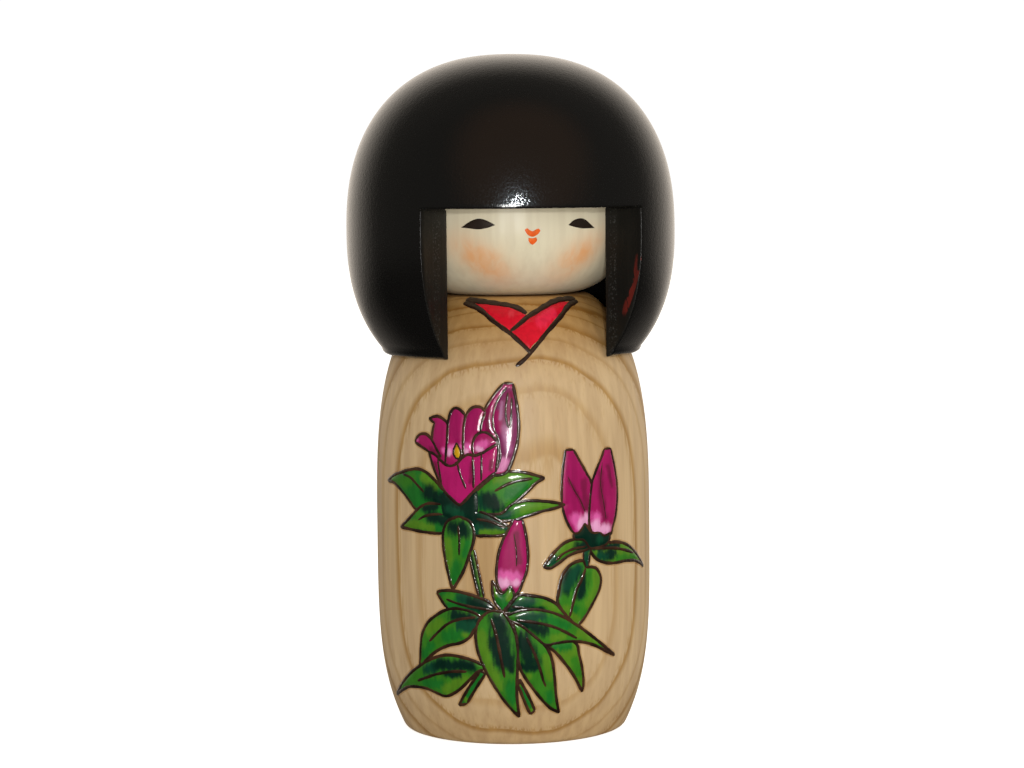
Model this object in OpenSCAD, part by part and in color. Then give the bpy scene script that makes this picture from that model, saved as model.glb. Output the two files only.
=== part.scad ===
// Turned wooden kokeshi doll: body, neck peg, face core and hair cap,
// with raised enamel and lacquer coats on the front.
// Millimetres, +Z up, the face looks along -Y, origin at the centre of the base.

/* [Body] */
// Height of the body's flat top, where the head sits
body_top = 97; // [90:1:104]
// Largest radius of the body
body_r = 30.5; // [28:0.5:33]
// Height of the largest radius
body_mid = 46; // [40:1:52]
// How far the foot draws in below the largest radius
foot_draw = 6; // [3:0.5:8]

/* [Hair cap] */
// Overall height of the doll
doll_h = 150; // [140:1:160]
// Largest radius of the hair
hair_r = 36.5; // [34:0.5:39]
// Height of the hair's largest radius
hair_mid = 111; // [106:1:116]
// Height of the hair's lower lip
hair_lip = 83.8; // [82:0.2:86]
// Radius of the bore that takes the face core
hair_bore_r = 26.9; // [26.9:0.1:27.4]
// Height of the fringe line, the top of the sawn front notch
fringe_z = 116.4; // [112:0.2:120]
// Half angle of the notch at the bore
notch_in = 39.8; // [34:0.2:44]
// Half angle of the notch at the outside
notch_out = 40.9; // [35:0.2:45]

/* [Face core and peg] */
// Rounding of the chin
chin_round = 15; // [10:0.5:18]
// Radius of the neck peg
peg_r = 6; // [5:0.5:8]
// Radial running clearance of the peg in the body
peg_play = 0.05; // [0.02:0.01:0.1]
// Gap between the chin and the body
neck_gap = 0.15; // [0.1:0.05:0.4]

/* [Coats] */
// Thickness of the raised enamel on the body
enamel_t = 0.3; // [0.2:0.05:0.5]
// Thickness of the lacquer on the face
lacquer_t = 0.12; // [0.1:0.02:0.2]

/* [Hidden] */
$fn = 96;

// The body's upper half is a superellipse of revolution, cut flat at body_top.
body_crown = 54.5;
body_power = 3;
foot_power = 4;
foot_edge = 1.0;

// The hair is a superellipse of revolution, taller above its widest ring than below.
hair_up = doll_h - hair_mid;
hair_down = 37;
hair_power = 2.36;
lip_roll = 1.5;
kerf_h = 0.4;
kerf_deep = 0.5;

core_r = hair_bore_r - 0.05;
core_bottom = body_top + neck_gap;
core_top = 136;
peg_bottom = 71;
peg_top = 113;
peg_chamfer = 0.8;
bore_floor = peg_bottom - 0.5;
profile_steps = 14;
side_steps = 7;
front_reach = 40;

// Outlines are drawn on the unrolled surface as [s, z]:
// s is the way round at a radius of unroll_r, z is the height.
unroll_r = 30;

// A leaf or petal is [root, side control, tip, other side control].
LEAVES = [
    [[-20, 53.5], [-25.8, 65.4], [-38.5, 56.8], [-29.8, 51.6]],
    [[-18, 51.5], [-26.6, 56.5], [-32.8, 47.2], [-24, 45.6]],
    [[-16.8, 50.3], [-23.5, 45], [-18.2, 35.2], [-11.5, 46]],
    [[-14.5, 53], [-8, 63.5], [1.3, 58.8], [-3, 51.5]],
    [[-9, 51.5], [-1.5, 56], [6, 52.8], [-2.5, 49.4]],
    [[-16, 50], [-11.5, 53], [-5, 48], [-10.5, 43.6]],
    [[-21, 51], [-17, 59], [-12, 51.5], [-16, 46]],
    [[13, 44], [6, 48.3], [1.3, 39.4], [7.9, 42.6]],
    [[12.3, 42.6], [22, 47.8], [31.5, 36.7], [19, 37.6]],
    [[9, 45], [10.8, 50], [16.5, 45.5], [12.8, 41]],
    [[11, 40], [0, 38.5], [8.3, 26], [20, 36]],
    [[-8, 29.6], [-15, 37], [-22, 34], [-17, 28]],
    [[-10, 30], [-25.9, 33.4], [-28.3, 17.2], [-17.9, 22]],
    [[-11.5, 18], [-22.5, 24.5], [-41.5, 8.6], [-22.5, 8.9]],
    [[-8, 30.5], [-19.3, 21.5], [-3.8, 7], [-2.4, 19]],
    [[-5, 28], [-5.9, 13.2], [5.5, 7.5], [5.6, 23.2]],
    [[0, 24.5], [6.6, 19], [11.3, 11.5], [11.6, 24.4]],
    [[-6, 29], [5.9, 32.2], [19.5, 18.9], [5.9, 21]],
    [[-6, 30.5], [1, 37.8], [9, 26.5], [2, 27]],
    [[-7.6, 30], [-10.8, 33.5], [-9.3, 37], [-7.5, 34]],
    [[-7.6, 30], [-8, 35], [-5, 35.5], [-4.3, 31.5]]
];
PETALS = [
    [[-9, 59], [-15.8, 72.8], [-5.5, 79.3], [-0.4, 68]],
    [[-21, 62], [-26, 67.5], [-22.5, 72.2], [-18, 71]],
    [[-18, 62], [-22.5, 74], [-17.7, 73.8], [-13.5, 73.5]],
    [[-14, 62], [-17.5, 74.5], [-13.3, 74.2], [-8.5, 74]],
    [[-22, 64.5], [-25.5, 70.5], [-28, 66.2], [-25, 64]],
    [[-13.2, 64], [-13, 71.5], [-8.3, 66.3], [-11, 64]]
];
// The cup of the blossom, the fused front petals.
CUP = [
    [-24, 64], [-21.5, 63], [-19, 61.6], [-16.5, 62.5], [-13.5, 63.8], [-8.3, 66.2],
    [-8.2, 62], [-9.2, 59.8], [-11.5, 57.8], [-14, 55.4], [-16.5, 53.2],
    [-18.5, 54.2], [-20.5, 56], [-22.5, 60]
];
BUDS = [
    [[9.3, 46.3], [2.4, 54.5], [7.5, 65], [16.8, 56.5]],
    [[15, 45.3], [8.9, 53.5], [17.7, 64.8], [23.4, 54.5]],
    [[-6, 34.3], [-11, 41], [-4, 50.3], [1.2, 42]]
];
STAMEN = [[-17.4, 63.2], [-19, 64.5], [-17.2, 66.2], [-15.6, 64.5]];
// A stem is [one end, other end, width].
STEMS = [
    [[-14.4, 42.5], [-12, 33], 1.3],
    [[12, 43.5], [10.8, 38], 1.5],
    [[-11.5, 17.5], [-18, 9.5], 1.7],
    [[-4, 16], [-1, 8], 1.5]
];
EYES = [
    [[-15.1, 112.2], [-11.2, 116], [-7.8, 112.9], [-11.2, 111]],
    [[8.5, 112.6], [11, 115.9], [15.4, 111.8], [12, 111.2]]
];
LIPS = [
    [[-1.1, 111.8], [-0.6, 110.4], [0.3, 110.4], [0, 111.1]],
    [[0.1, 110.5], [1.2, 110.4], [1.9, 111.7], [0.7, 111.4]],
    [[-0.5, 109.9], [-0.3, 108.3], [0.3, 108.6], [0.2, 109.8]],
    [[0.2, 108.6], [1, 108.6], [1.1, 109.9], [0.3, 110]]
];
// Crimson flaps of the collar, left one and right one.
COLLAR = [
    [[-17.5, 95.6], [-10, 95.2], [-4, 94.4], [-0.6, 93.2], [-5.4, 90.4], [-11, 92.9]],
    [[17, 95.7], [8.5, 94.3], [2, 92.4], [-4, 90], [0, 86.6], [4, 89.4], [10, 93.2]]
];

function body_radius(z) = z >= body_mid
    ? body_r * pow(1 - pow((z - body_mid) / body_crown, body_power), 1 / body_power)
    : body_r - foot_draw * pow((body_mid - z) / body_mid, foot_power);

// Heights of the profile points, closer together where the profile bends.
BODY_Z = concat(
    [for (i = [0 : profile_steps - 1])
        body_mid - (body_mid - foot_edge) * sin(90 * (1 - i / profile_steps))],
    [for (i = [0 : profile_steps])
        body_mid + (body_top - body_mid) * sin(90 * i / profile_steps)]
);
function body_side(lift) = [for (z = BODY_Z) [body_radius(z) + lift, z]];

function core_radius(z) = z >= core_bottom + chin_round
    ? core_r
    : core_r - chin_round + sqrt(pow(chin_round, 2) - pow(core_bottom + chin_round - z, 2));
CORE_Z = [for (i = [0 : profile_steps]) core_bottom + chin_round * (1 - cos(90 * i / profile_steps))];
function core_side(lift) = concat(
    [for (z = CORE_Z) [core_radius(z) + lift, z]],
    [[core_r + lift, fringe_z]]
);

function reversed(list) = [for (i = [len(list) - 1 : -1 : 0]) list[i]];

// One side of a leaf: a quadratic curve from a to b, pulled towards c.
function curve(a, c, b) = [for (i = [0 : side_steps - 1])
    let (t = i / side_steps) a * pow(1 - t, 2) + 2 * c * t * (1 - t) + b * t * t];
function leaf(l) = concat(curve(l[0], l[1], l[2]), curve(l[2], l[3], l[0]));
function stem(l) = let (way = (l[1] - l[0]) / norm(l[1] - l[0]), out = [-way[1], way[0]] * l[2] / 2)
    [l[0] + out, l[1] + out, l[1] - out, l[0] - out];

function round_body(points) = [for (p = points)
    [body_radius(p[1]) * sin(p[0] / unroll_r * 180 / PI), p[1]]];
function round_face(points) = [for (p = points)
    [core_radius(p[1]) * sin(p[0] / core_r * 180 / PI), p[1]]];

// A coat is the part of a thin turned shell that lies behind its outline.
module coat(outlines, skin, side) {
    intersection() {
        rotate([90, 0, 0])
            linear_extrude(front_reach)
                for (o = outlines)
                    polygon(o);
        rotate_extrude()
            polygon(concat(skin, reversed(side)));
    }
}
module enamel(outlines) {
    coat([for (o = outlines) round_body(o)], body_side(enamel_t), body_side(0));
}
module lacquer(outlines) {
    coat([for (o = outlines) round_face(o)], core_side(lacquer_t), core_side(0));
}

module body() {
    color("burlywood") difference() {
        rotate_extrude()
            polygon(concat([[0, 0], [body_radius(0) - foot_edge, 0]], body_side(0), [[0, body_top]]));
        translate([0, 0, bore_floor])
            cylinder(h = body_top, r = peg_r + peg_play);
    }
}

module neck_peg() {
    color("tan") rotate_extrude()
        polygon([
            [0, peg_bottom], [peg_r - peg_chamfer, peg_bottom], [peg_r, peg_bottom + peg_chamfer],
            [peg_r, peg_top - peg_chamfer], [peg_r - peg_chamfer, peg_top], [0, peg_top]
        ]);
}

module face_core() {
    color("ivory") difference() {
        rotate_extrude()
            polygon(concat([[0, core_bottom]], [for (z = CORE_Z) [core_radius(z), z]],
                           [[core_r, core_top], [0, core_top]]));
        translate([0, 0, core_bottom - 1])
            cylinder(h = peg_top - core_bottom + 1, r = peg_r);
    }
}

// Point of the hair's profile at a parametric angle, above or below the widest ring.
function hair_point(a, tall) = [
    hair_r * pow(cos(a), 2 / hair_power),
    hair_mid + tall * pow(sin(a), 2 / hair_power)
];
lip_start = hair_lip + lip_roll;
lip_angle = asin(pow((hair_mid - lip_start) / hair_down, hair_power / 2));
lip_width = hair_r * pow(cos(lip_angle), 2 / hair_power) - hair_bore_r;

HAIR_SIDE = concat(
    [for (i = [1 : 8]) let (a = 90 * i / 8)
        [hair_bore_r + lip_width * sin(a), lip_start - lip_roll * cos(a)]],
    [for (i = [profile_steps - 1 : -1 : 1]) hair_point(lip_angle * i / profile_steps, -hair_down)],
    [for (i = [0 : 2 * profile_steps - 1]) hair_point(90 * i / (2 * profile_steps), hair_up)],
    [[0, doll_h]]
);

// Plan of the sawn notch; spread is the extra depth of the saw kerf.
module notch_plan(spread = 0) {
    inner = [hair_bore_r * sin(notch_in) + spread, -hair_bore_r * cos(notch_in) + spread];
    outer = [hair_r * sin(notch_out) + spread, -hair_r * cos(notch_out) + spread];
    far = inner + (outer - inner) * 2.2;
    polygon([
        [-inner[0], inner[1]], [-far[0], far[1]], [-far[0], -2 * hair_r],
        [far[0], -2 * hair_r], far, inner
    ]);
}

module hair_cap() {
    color("#1c1614") difference() {
        rotate_extrude()
            polygon(concat([[0, hair_lip]], [[hair_bore_r, hair_lip]], HAIR_SIDE));
        translate([0, 0, hair_lip - 1])
            cylinder(h = core_top - hair_lip + 1, r = hair_bore_r);
        translate([0, 0, hair_lip - 1])
            linear_extrude(fringe_z - hair_lip + 1) notch_plan();
        translate([0, 0, fringe_z - kerf_h])
            linear_extrude(kerf_h) notch_plan(kerf_deep);
    }
}

module collar_enamel() {
    color("crimson") enamel(COLLAR);
}
module stamen_enamel() {
    color("goldenrod") enamel([leaf(STAMEN)]);
}
// Coats of different colours meet edge to edge: the front one is cut out of the ones behind.
module blossom_enamel() {
    color("mediumvioletred") difference() {
        enamel(concat([for (p = PETALS) leaf(p)], [CUP]));
        cutter([leaf(STAMEN)]);
    }
}
module bud_enamel() {
    color("mediumvioletred") difference() {
        enamel([for (b = BUDS) leaf(b)]);
        cutter([for (i = [9, 19, 20]) leaf(LEAVES[i])]);
    }
}
module leaf_enamel() {
    color("forestgreen") difference() {
        enamel([for (l = LEAVES) leaf(l)]);
        cutter(concat([for (p = PETALS) leaf(p)], [CUP]));
        difference() {
            cutter([for (b = BUDS) leaf(b)]);
            cutter([for (i = [9, 19, 20]) leaf(LEAVES[i])]);
        }
    }
}
module stem_enamel() {
    color("darkolivegreen") difference() {
        enamel([for (s = STEMS) stem(s)]);
        cutter([for (l = LEAVES) leaf(l)]);
    }
}
module cutter(outlines) {
    rotate([90, 0, 0])
        linear_extrude(front_reach + 1)
            for (o = outlines)
                polygon(round_body(o));
}
module eye_lacquer() {
    color("#241812") lacquer([for (e = EYES) leaf(e)]);
}
module lip_lacquer() {
    color("orangered") lacquer([for (l = LIPS) leaf(l)]);
}

body();
neck_peg();
face_core();
hair_cap();
collar_enamel();
blossom_enamel();
stamen_enamel();
bud_enamel();
leaf_enamel();
stem_enamel();
eye_lacquer();
lip_lacquer();
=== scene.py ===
# %% [markdown]
# # A turned kokeshi doll
# The doll is a wooden body and a black, bob-cut head that turns on a peg. Its front carries
# raised enamel flowers between burnt lines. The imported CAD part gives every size, and this
# script gives each piece its finish. It starts with the frame and a few small helpers.

# %% Load the frame
import math
import random

import bmesh
import bpy
import numpy as np
from mathutils import Euler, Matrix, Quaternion, Vector
from mathutils.geometry import delaunay_2d_cdt
from mathutils.kdtree import KDTree
from mathutils.noise import fractal


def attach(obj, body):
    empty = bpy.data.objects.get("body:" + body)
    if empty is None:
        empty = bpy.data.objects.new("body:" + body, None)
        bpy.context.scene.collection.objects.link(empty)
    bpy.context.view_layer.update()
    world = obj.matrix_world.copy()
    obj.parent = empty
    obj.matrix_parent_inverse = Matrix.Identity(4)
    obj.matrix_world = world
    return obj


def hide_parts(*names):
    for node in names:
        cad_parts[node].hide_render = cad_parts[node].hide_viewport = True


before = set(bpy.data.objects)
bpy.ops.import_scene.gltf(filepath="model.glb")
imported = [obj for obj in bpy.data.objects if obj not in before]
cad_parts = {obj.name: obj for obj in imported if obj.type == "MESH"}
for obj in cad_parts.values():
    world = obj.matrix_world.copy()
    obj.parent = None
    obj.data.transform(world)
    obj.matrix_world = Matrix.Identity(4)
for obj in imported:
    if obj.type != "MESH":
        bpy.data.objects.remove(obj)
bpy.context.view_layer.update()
MM = 0.001


def link(name, data):
    thing = bpy.data.objects.new(name, data)
    bpy.context.scene.collection.objects.link(thing)
    return thing


# %% [markdown]
# ## Camera, floor and light
# The doll is looked at from slightly above and a little to its right, through a long lens, so
# that the round forms stay calm. A long lens far away keeps verticals nearly parallel, where a
# wide lens close by would swell the head.

# %% Camera
CAMERA_DISTANCE = 624
CAMERA_HEIGHT = 125.8
CAMERA_AZIMUTH = -9.5
CAMERA_PITCH = -4.5
CAMERA_ROLL = -0.55
LENS, SENSOR_WIDTH = 98.4, 36

camera_data = bpy.data.cameras.new("studio_camera")
camera_data.lens = LENS
camera_data.sensor_width = SENSOR_WIDTH
camera = link("studio_camera", camera_data)
azimuth = math.radians(CAMERA_AZIMUTH)
camera_way = Vector((math.sin(azimuth), -math.cos(azimuth), 0))
camera_right = Vector((math.cos(azimuth), math.sin(azimuth), 0))
camera.location = camera_way * CAMERA_DISTANCE * MM + Vector((0, 0, CAMERA_HEIGHT * MM))
camera.rotation_mode = "QUATERNION"
aim = Euler((math.radians(90 + CAMERA_PITCH), 0, azimuth), "XYZ").to_quaternion()
roll = Quaternion((0, 0, 1), math.radians(CAMERA_ROLL))
camera.rotation_quaternion = aim @ roll
bpy.context.scene.camera = camera
bpy.context.scene.view_settings.view_transform = "Standard"
print("camera at", [round(v, 3) for v in camera.location])

# %% [markdown]
# A material is a tree of nodes. These helpers keep the trees short: one adds a node and sets
# its values, and the others name the few nodes that every finish here needs.

# %% Helpers for node trees
def add(tree, kind, inputs=(), **settings):
    node = tree.nodes.new(kind)
    for key, value in settings.items():
        setattr(node, key, value)
    for key, value in dict(inputs).items():
        if isinstance(value, bpy.types.NodeSocket):
            tree.links.new(value, node.inputs[key])
        else:
            node.inputs[key].default_value = value
    return node


def maths(tree, operation, a, b=0.0, clamp=False):
    node = add(tree, "ShaderNodeMath", {0: a, 1: b}, operation=operation, use_clamp=clamp)
    return node.outputs[0]


def plus(tree, a, b):
    return maths(tree, "ADD", a, b)


def minus(tree, a, b):
    return maths(tree, "SUBTRACT", a, b)


def times(tree, a, b):
    return maths(tree, "MULTIPLY", a, b)


def vector_maths(tree, operation, a, b, output=0):
    return add(tree, "ShaderNodeVectorMath", {0: a, 1: b}, operation=operation).outputs[output]


def mixed(tree, factor, a, b, blend="MIX"):
    node = add(tree, "ShaderNodeMix", data_type="RGBA", blend_type=blend)
    for socket, value in ((0, factor), (6, a), (7, b)):
        if isinstance(value, bpy.types.NodeSocket):
            tree.links.new(value, node.inputs[socket])
        elif socket:
            node.inputs[socket].default_value = (*value, 1)
        else:
            node.inputs[socket].default_value = value
    return node.outputs[2]


def noise(tree, where, scale, detail=3.0, stretch=(1, 1, 1), distortion=0.0):
    spot = vector_maths(tree, "MULTIPLY", where, stretch) if stretch != (1, 1, 1) else where
    node = add(tree, "ShaderNodeTexNoise",
               {"Vector": spot, "Scale": scale, "Detail": detail, "Distortion": distortion})
    return node.outputs["Fac"]


def step(tree, value, low, high, to_low=0.0, to_high=1.0):
    node = add(tree, "ShaderNodeMapRange",
               {"Value": value, "From Min": low, "From Max": high,
                "To Min": to_low, "To Max": to_high}, interpolation_type="SMOOTHSTEP")
    return node.outputs[0]


def new_finish(name, **constants):
    """A named finish, its tree and its shader, with values such as Coat_Weight set on it."""
    finish = bpy.data.materials.new(name)
    finish.use_nodes = True
    shader = finish.node_tree.nodes["Principled BSDF"]
    for key, value in constants.items():
        shader.inputs[key.replace("_", " ")].default_value = value
    return finish, finish.node_tree, shader


def dress(tree, shader, colour, roughness):
    tree.links.new(colour, shader.inputs["Base Color"])
    tree.links.new(roughness, shader.inputs["Roughness"])


def relief(tree, shader, height, distance, strength=1.0):
    bump = add(tree, "ShaderNodeBump",
               {"Height": height, "Distance": distance, "Strength": strength})
    tree.links.new(bump.outputs[0], shader.inputs["Normal"])
    tree.links.new(bump.outputs[0], shader.inputs["Coat Normal"])


def object_place(tree):
    return add(tree, "ShaderNodeTexCoord").outputs["Object"]


def height_of(tree, place):
    return add(tree, "ShaderNodeSeparateXYZ", {0: place}).outputs["Z"]


# %% [markdown]
# The doll stands on white paper. The paper glows a little and is drawn for the camera only: the
# room below the horizon stands in for its bounce, which keeps the doll's foot calm.

# %% Floor
FLOOR_SIZE = 6.0
FLOOR_GLOW = 0.72

floor_mesh = bpy.data.meshes.new("floor")
half = FLOOR_SIZE / 2
corners = [(-half, -half, 0), (half, -half, 0), (half, half, 0), (-half, half, 0)]
floor_mesh.from_pydata(corners, [], [(0, 1, 2, 3)])
floor = link("floor", floor_mesh)
paper, tree, shader = new_finish("white_paper", Roughness=0.9, Specular_IOR_Level=0.1,
                                 Emission_Color=(1, 1, 1, 1), Emission_Strength=FLOOR_GLOW)
fibre = noise(tree, object_place(tree), 40)
tree.links.new(mixed(tree, fibre, (0.92, 0.92, 0.92), (0.95, 0.95, 0.95)),
               shader.inputs["Base Color"])
floor.data.materials.append(paper)
floor.visible_diffuse = False
floor.visible_glossy = False

# %% [markdown]
# The room is a white sweep that is bright behind the doll and dim behind the camera, so the
# black hair stays black in the middle and glows along its outline. One room lights the matt
# surfaces, and a dimmer one is mirrored in the lacquer, with a warm wall high behind the camera
# that leaves a brown tinge on the fringe. A Light Path node tells which room a ray sees. One
# room for both would leave either the wood too dark or the hair too grey.

# %% Room
ROOM_BACK, ROOM_FRONT, ROOM_BELOW = 1.05, 0.32, 0.8
GLOSS_BACK, GLOSS_FRONT, GLOSS_BELOW = 0.88, 0.10, 0.2
WARM_WALL, WALL_TURN, WALL_RISE = 0.2, 10, 34
SEEN_WHITE = 1.05

world = bpy.data.worlds.new("white_room")
world.use_nodes = True
bpy.context.scene.world = world
tree = world.node_tree
tree.nodes.clear()
direction = add(tree, "ShaderNodeTexCoord").outputs["Generated"]
rise = height_of(tree, direction)


def towards(turn, rise_angle):
    """Cosine between a room direction and one turned and raised from the camera's, in degrees."""
    a, e = math.radians(CAMERA_AZIMUTH + turn), math.radians(rise_angle)
    way = (math.sin(a) * math.cos(e), -math.cos(a) * math.cos(e), math.sin(e))
    return vector_maths(tree, "DOT_PRODUCT", direction, way, "Value")


def light(colour, strength):
    return add(tree, "ShaderNodeBackground", {"Color": colour, "Strength": strength}).outputs[0]


def backdrop(colour, back, front, below, far, near):
    """A room of one colour that fades from behind the doll to the wall behind the camera."""
    fade = step(tree, towards(0, 5), far, near, back, front)
    return light(colour, times(tree, fade, step(tree, rise, -0.3, 0.0, below, 1.0)))


def either(question, no, yes):
    return add(tree, "ShaderNodeMixShader", {0: question, 1: no, 2: yes}).outputs[0]


soft_room = backdrop((1, 0.945, 0.83, 1), ROOM_BACK, ROOM_FRONT, ROOM_BELOW, -0.85, 0.5)
gloss_room = backdrop((1, 0.89, 0.77, 1), GLOSS_BACK, GLOSS_FRONT, GLOSS_BELOW, -1.0, -0.25)
wall = step(tree, towards(WALL_TURN, WALL_RISE), 0.55, 0.9, 0.0, WARM_WALL)
warm_glow = light((1, 0.42, 0.16, 1), wall)
mirrored = add(tree, "ShaderNodeAddShader", {0: gloss_room, 1: warm_glow}).outputs[0]
ray = add(tree, "ShaderNodeLightPath")
lit = either(ray.outputs["Is Glossy Ray"], soft_room, mirrored)
shown = either(ray.outputs["Is Camera Ray"], lit, light((1, 1, 1, 1), SEEN_WHITE))
tree.links.new(shown, add(tree, "ShaderNodeOutputWorld").inputs[0])

# %% [markdown]
# Three round lamps stand in front. A small one above the camera draws the spark on the fringe,
# a low one lights the face between the curtains of hair and glints on the burnt lines, and a
# large soft one from the right gives the forms their shading. The large one isn't mirrored, so
# it leaves no broad white patch on the lacquer.

# %% Lamps
AIM_HEIGHT = 0.075


def lamp(name, forward, right, height, size, power, colour=(1, 1, 1)):
    """A disk lamp, placed by metres towards the camera, to its right and above the floor."""
    data = bpy.data.lights.new(name, "AREA")
    data.shape = "DISK"
    data.size = size
    data.energy = power
    data.color = colour
    lit_from = link(name, data)
    place = camera_way * forward + camera_right * right + Vector((0, 0, height))
    lit_from.location = place
    lit_from.rotation_mode = "QUATERNION"
    way = Vector((0, 0, AIM_HEIGHT)) - place
    lit_from.rotation_quaternion = way.to_track_quat("-Z", "Y")
    return lit_from


lamp("spark_lamp", 0.66, 0.06, 0.188, size=0.035, power=1.2, colour=(0.93, 0.97, 1))
lamp("flash_lamp", 0.62, 0, 0.1, size=0.1, power=1.25, colour=(1, 0.985, 0.95))
side_lamp = lamp("side_lamp", 0.5, 0.95, 0.35, size=0.7, power=2.6)
side_lamp.visible_glossy = False

# %% [markdown]
# ## Turned shapes
# The body and the head core come off a lathe, so each is one profile carried round an axis.
# A Geometry Nodes tree does the same work as the lathe: it takes a profile drawn as a line of
# points, lays a grid with one row for each point, and carries every grid point round the axis.
# A Spin tool would give the same form, but the tree shows the rule and takes any profile.

# %% Lathe tree
WELD = 0.000002


def new_tree(name, sockets):
    tree = bpy.data.node_groups.new(name, "GeometryNodeTree")
    tree.interface.new_socket("Geometry", in_out="INPUT", socket_type="NodeSocketGeometry")
    made = {}
    for label, kind in sockets:
        made[label] = tree.interface.new_socket(label, in_out="INPUT", socket_type=kind)
    tree.interface.new_socket("Geometry", in_out="OUTPUT", socket_type="NodeSocketGeometry")
    return tree, made, tree.nodes.new("NodeGroupInput"), tree.nodes.new("NodeGroupOutput")


def finish_tree(tree, start, end, geometry):
    """Ends a tree with real geometry in the finish that its inputs name."""
    real = add(tree, "GeometryNodeRealizeInstances", {0: geometry})
    dressed = add(tree, "GeometryNodeSetMaterial",
                  {"Geometry": real.outputs[0], "Material": start.outputs["Finish"]})
    tree.links.new(dressed.outputs[0], end.inputs[0])


def lathe_tree():
    tree, sockets, start, end = new_tree(
        "lathe", [("Columns", "NodeSocketInt"), ("Finish", "NodeSocketMaterial")])
    profile = start.outputs["Geometry"]
    size = add(tree, "GeometryNodeAttributeDomainSize", {0: profile})
    rows = size.outputs["Point Count"]
    columns = plus(tree, start.outputs["Columns"], 1)
    grid = add(tree, "GeometryNodeMeshGrid", {"Vertices X": columns, "Vertices Y": rows})
    index = add(tree, "GeometryNodeInputIndex").outputs[0]
    row = maths(tree, "MODULO", index, rows)
    column = maths(tree, "FLOOR", maths(tree, "DIVIDE", index, rows))
    point = add(tree, "GeometryNodeSampleIndex",
                {"Geometry": profile, "Index": row,
                 "Value": add(tree, "GeometryNodeInputPosition").outputs[0]},
                data_type="FLOAT_VECTOR")
    share = maths(tree, "DIVIDE", column, start.outputs["Columns"])
    turn = add(tree, "ShaderNodeVectorRotate",
               {"Vector": point.outputs[0], "Angle": times(tree, share, 2 * math.pi)},
               rotation_type="Z_AXIS")
    placed = add(tree, "GeometryNodeSetPosition",
                 {"Geometry": grid.outputs["Mesh"], "Position": turn.outputs[0]})
    closed = add(tree, "GeometryNodeMergeByDistance",
                 {"Geometry": placed.outputs[0], "Distance": WELD})
    finish_tree(tree, start, end, closed.outputs[0])
    return tree, sockets


LATHE, LATHE_INPUTS = lathe_tree()

# %% [markdown]
# A tree runs as a modifier on a bare drawing. The plain mesh that comes out is kept, and the
# drawing and its modifier are thrown away. Faces that meet at less than SOFT_EDGE are shaded as
# one smooth surface.

# %% Run a tree and keep the plain mesh
SOFT_EDGE = 32


def grown(name, mesh, tree, sockets, values):
    """The plain mesh that a tree makes from a mesh, with its inputs set by name."""
    seed = link(name + "_drawing", mesh)
    modifier = seed.modifiers.new("tree", "NODES")
    modifier.node_group = tree
    for label, value in values.items():
        modifier[sockets[label].identifier] = value
    graph = bpy.context.evaluated_depsgraph_get()
    result = bpy.data.meshes.new_from_object(seed.evaluated_get(graph))
    bpy.data.objects.remove(seed)
    result.name = name
    return result


def faces_out(work, mesh):
    """Turns the faces of an edited mesh outwards and writes it into a plain mesh."""
    bmesh.ops.recalc_face_normals(work, faces=work.faces)
    if work.calc_volume(signed=True) < 0:
        bmesh.ops.reverse_faces(work, faces=work.faces)
    work.to_mesh(mesh)
    work.free()


def shaded(mesh, degrees=SOFT_EDGE):
    mesh.polygons.foreach_set("use_smooth", [True] * len(mesh.polygons))
    mesh.set_sharp_from_angle(angle=math.radians(degrees))


def turned(name, profile, finish, columns=256):
    line = bpy.data.meshes.new(name)
    points = [(r * MM, 0, z * MM) for r, z in profile]
    line.from_pydata(points, [(i, i + 1) for i in range(len(points) - 1)], [])
    mesh = grown(name, line, LATHE, LATHE_INPUTS, {"Columns": columns, "Finish": finish})
    work = bmesh.new()
    work.from_mesh(mesh)
    bmesh.ops.remove_doubles(work, verts=work.verts, dist=WELD)
    faces_out(work, mesh)
    shaded(mesh)
    print(name, "has", len(mesh.polygons), "faces")
    return link(name, mesh)


# %% [markdown]
# ## Wood
# The body is turned from a plank whose pith lies behind the doll's axis. Growth rings are
# cylinders round that pith, so on the barrel-shaped front they come out as nested ovals, at
# the sides as upright bands, and at the shoulder as close level lines. The finish works the
# same way: it measures the distance from the pith, bends it a little with noise, and cuts it
# into years. Each year darkens towards its late wood and stops at a sharp line, past which fine
# teeth run on along the grain. The outer years, which face the front, carry painted shade that
# makes the front darker than the sides. The shoulder under the hair is darker and more golden,
# partly its own tone and partly painted shadow of the hair, and the foot is darkened with
# painted shade. A picture of wood would need no such tree, but it would break at every turn of
# the surface, where this pattern runs through the solid.

# %% Wood finish
PITH = (2.0, 11.0)
YEAR = 2.0
LATE_START, LATE_END, TEETH_END = 0.34, 0.6, 0.9
SHARP_EDGE = 0.07
SHOULDER_YEARS = (32, 36)
# Painted shade: the outer years, which face the front, are darkened so that the front reads dimmer than
# the sides.
FRONT_SHADE_START, FRONT_SHADE_END = 33, 41
FRONT_PAINTED_SHADE = (0.88, 0.865, 0.84)
# Painted shade: the shoulder under the hair and the foot are darkened towards a deep gold; at the
# shoulder this is partly the wood's own tone and partly painted shadow of the hair.
SHOULDER_LOW, SHOULDER_HIGH, SHOULDER_TONE_AND_SHADE = 76, 94, 0.9
FOOT_HIGH, FOOT_PAINTED_SHADE = 16, 0.42
GOLDEN_SHADE = (0.62, 0.46, 0.22)
WOOD_LIGHT = (1.0, 0.96, 0.9)


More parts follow.
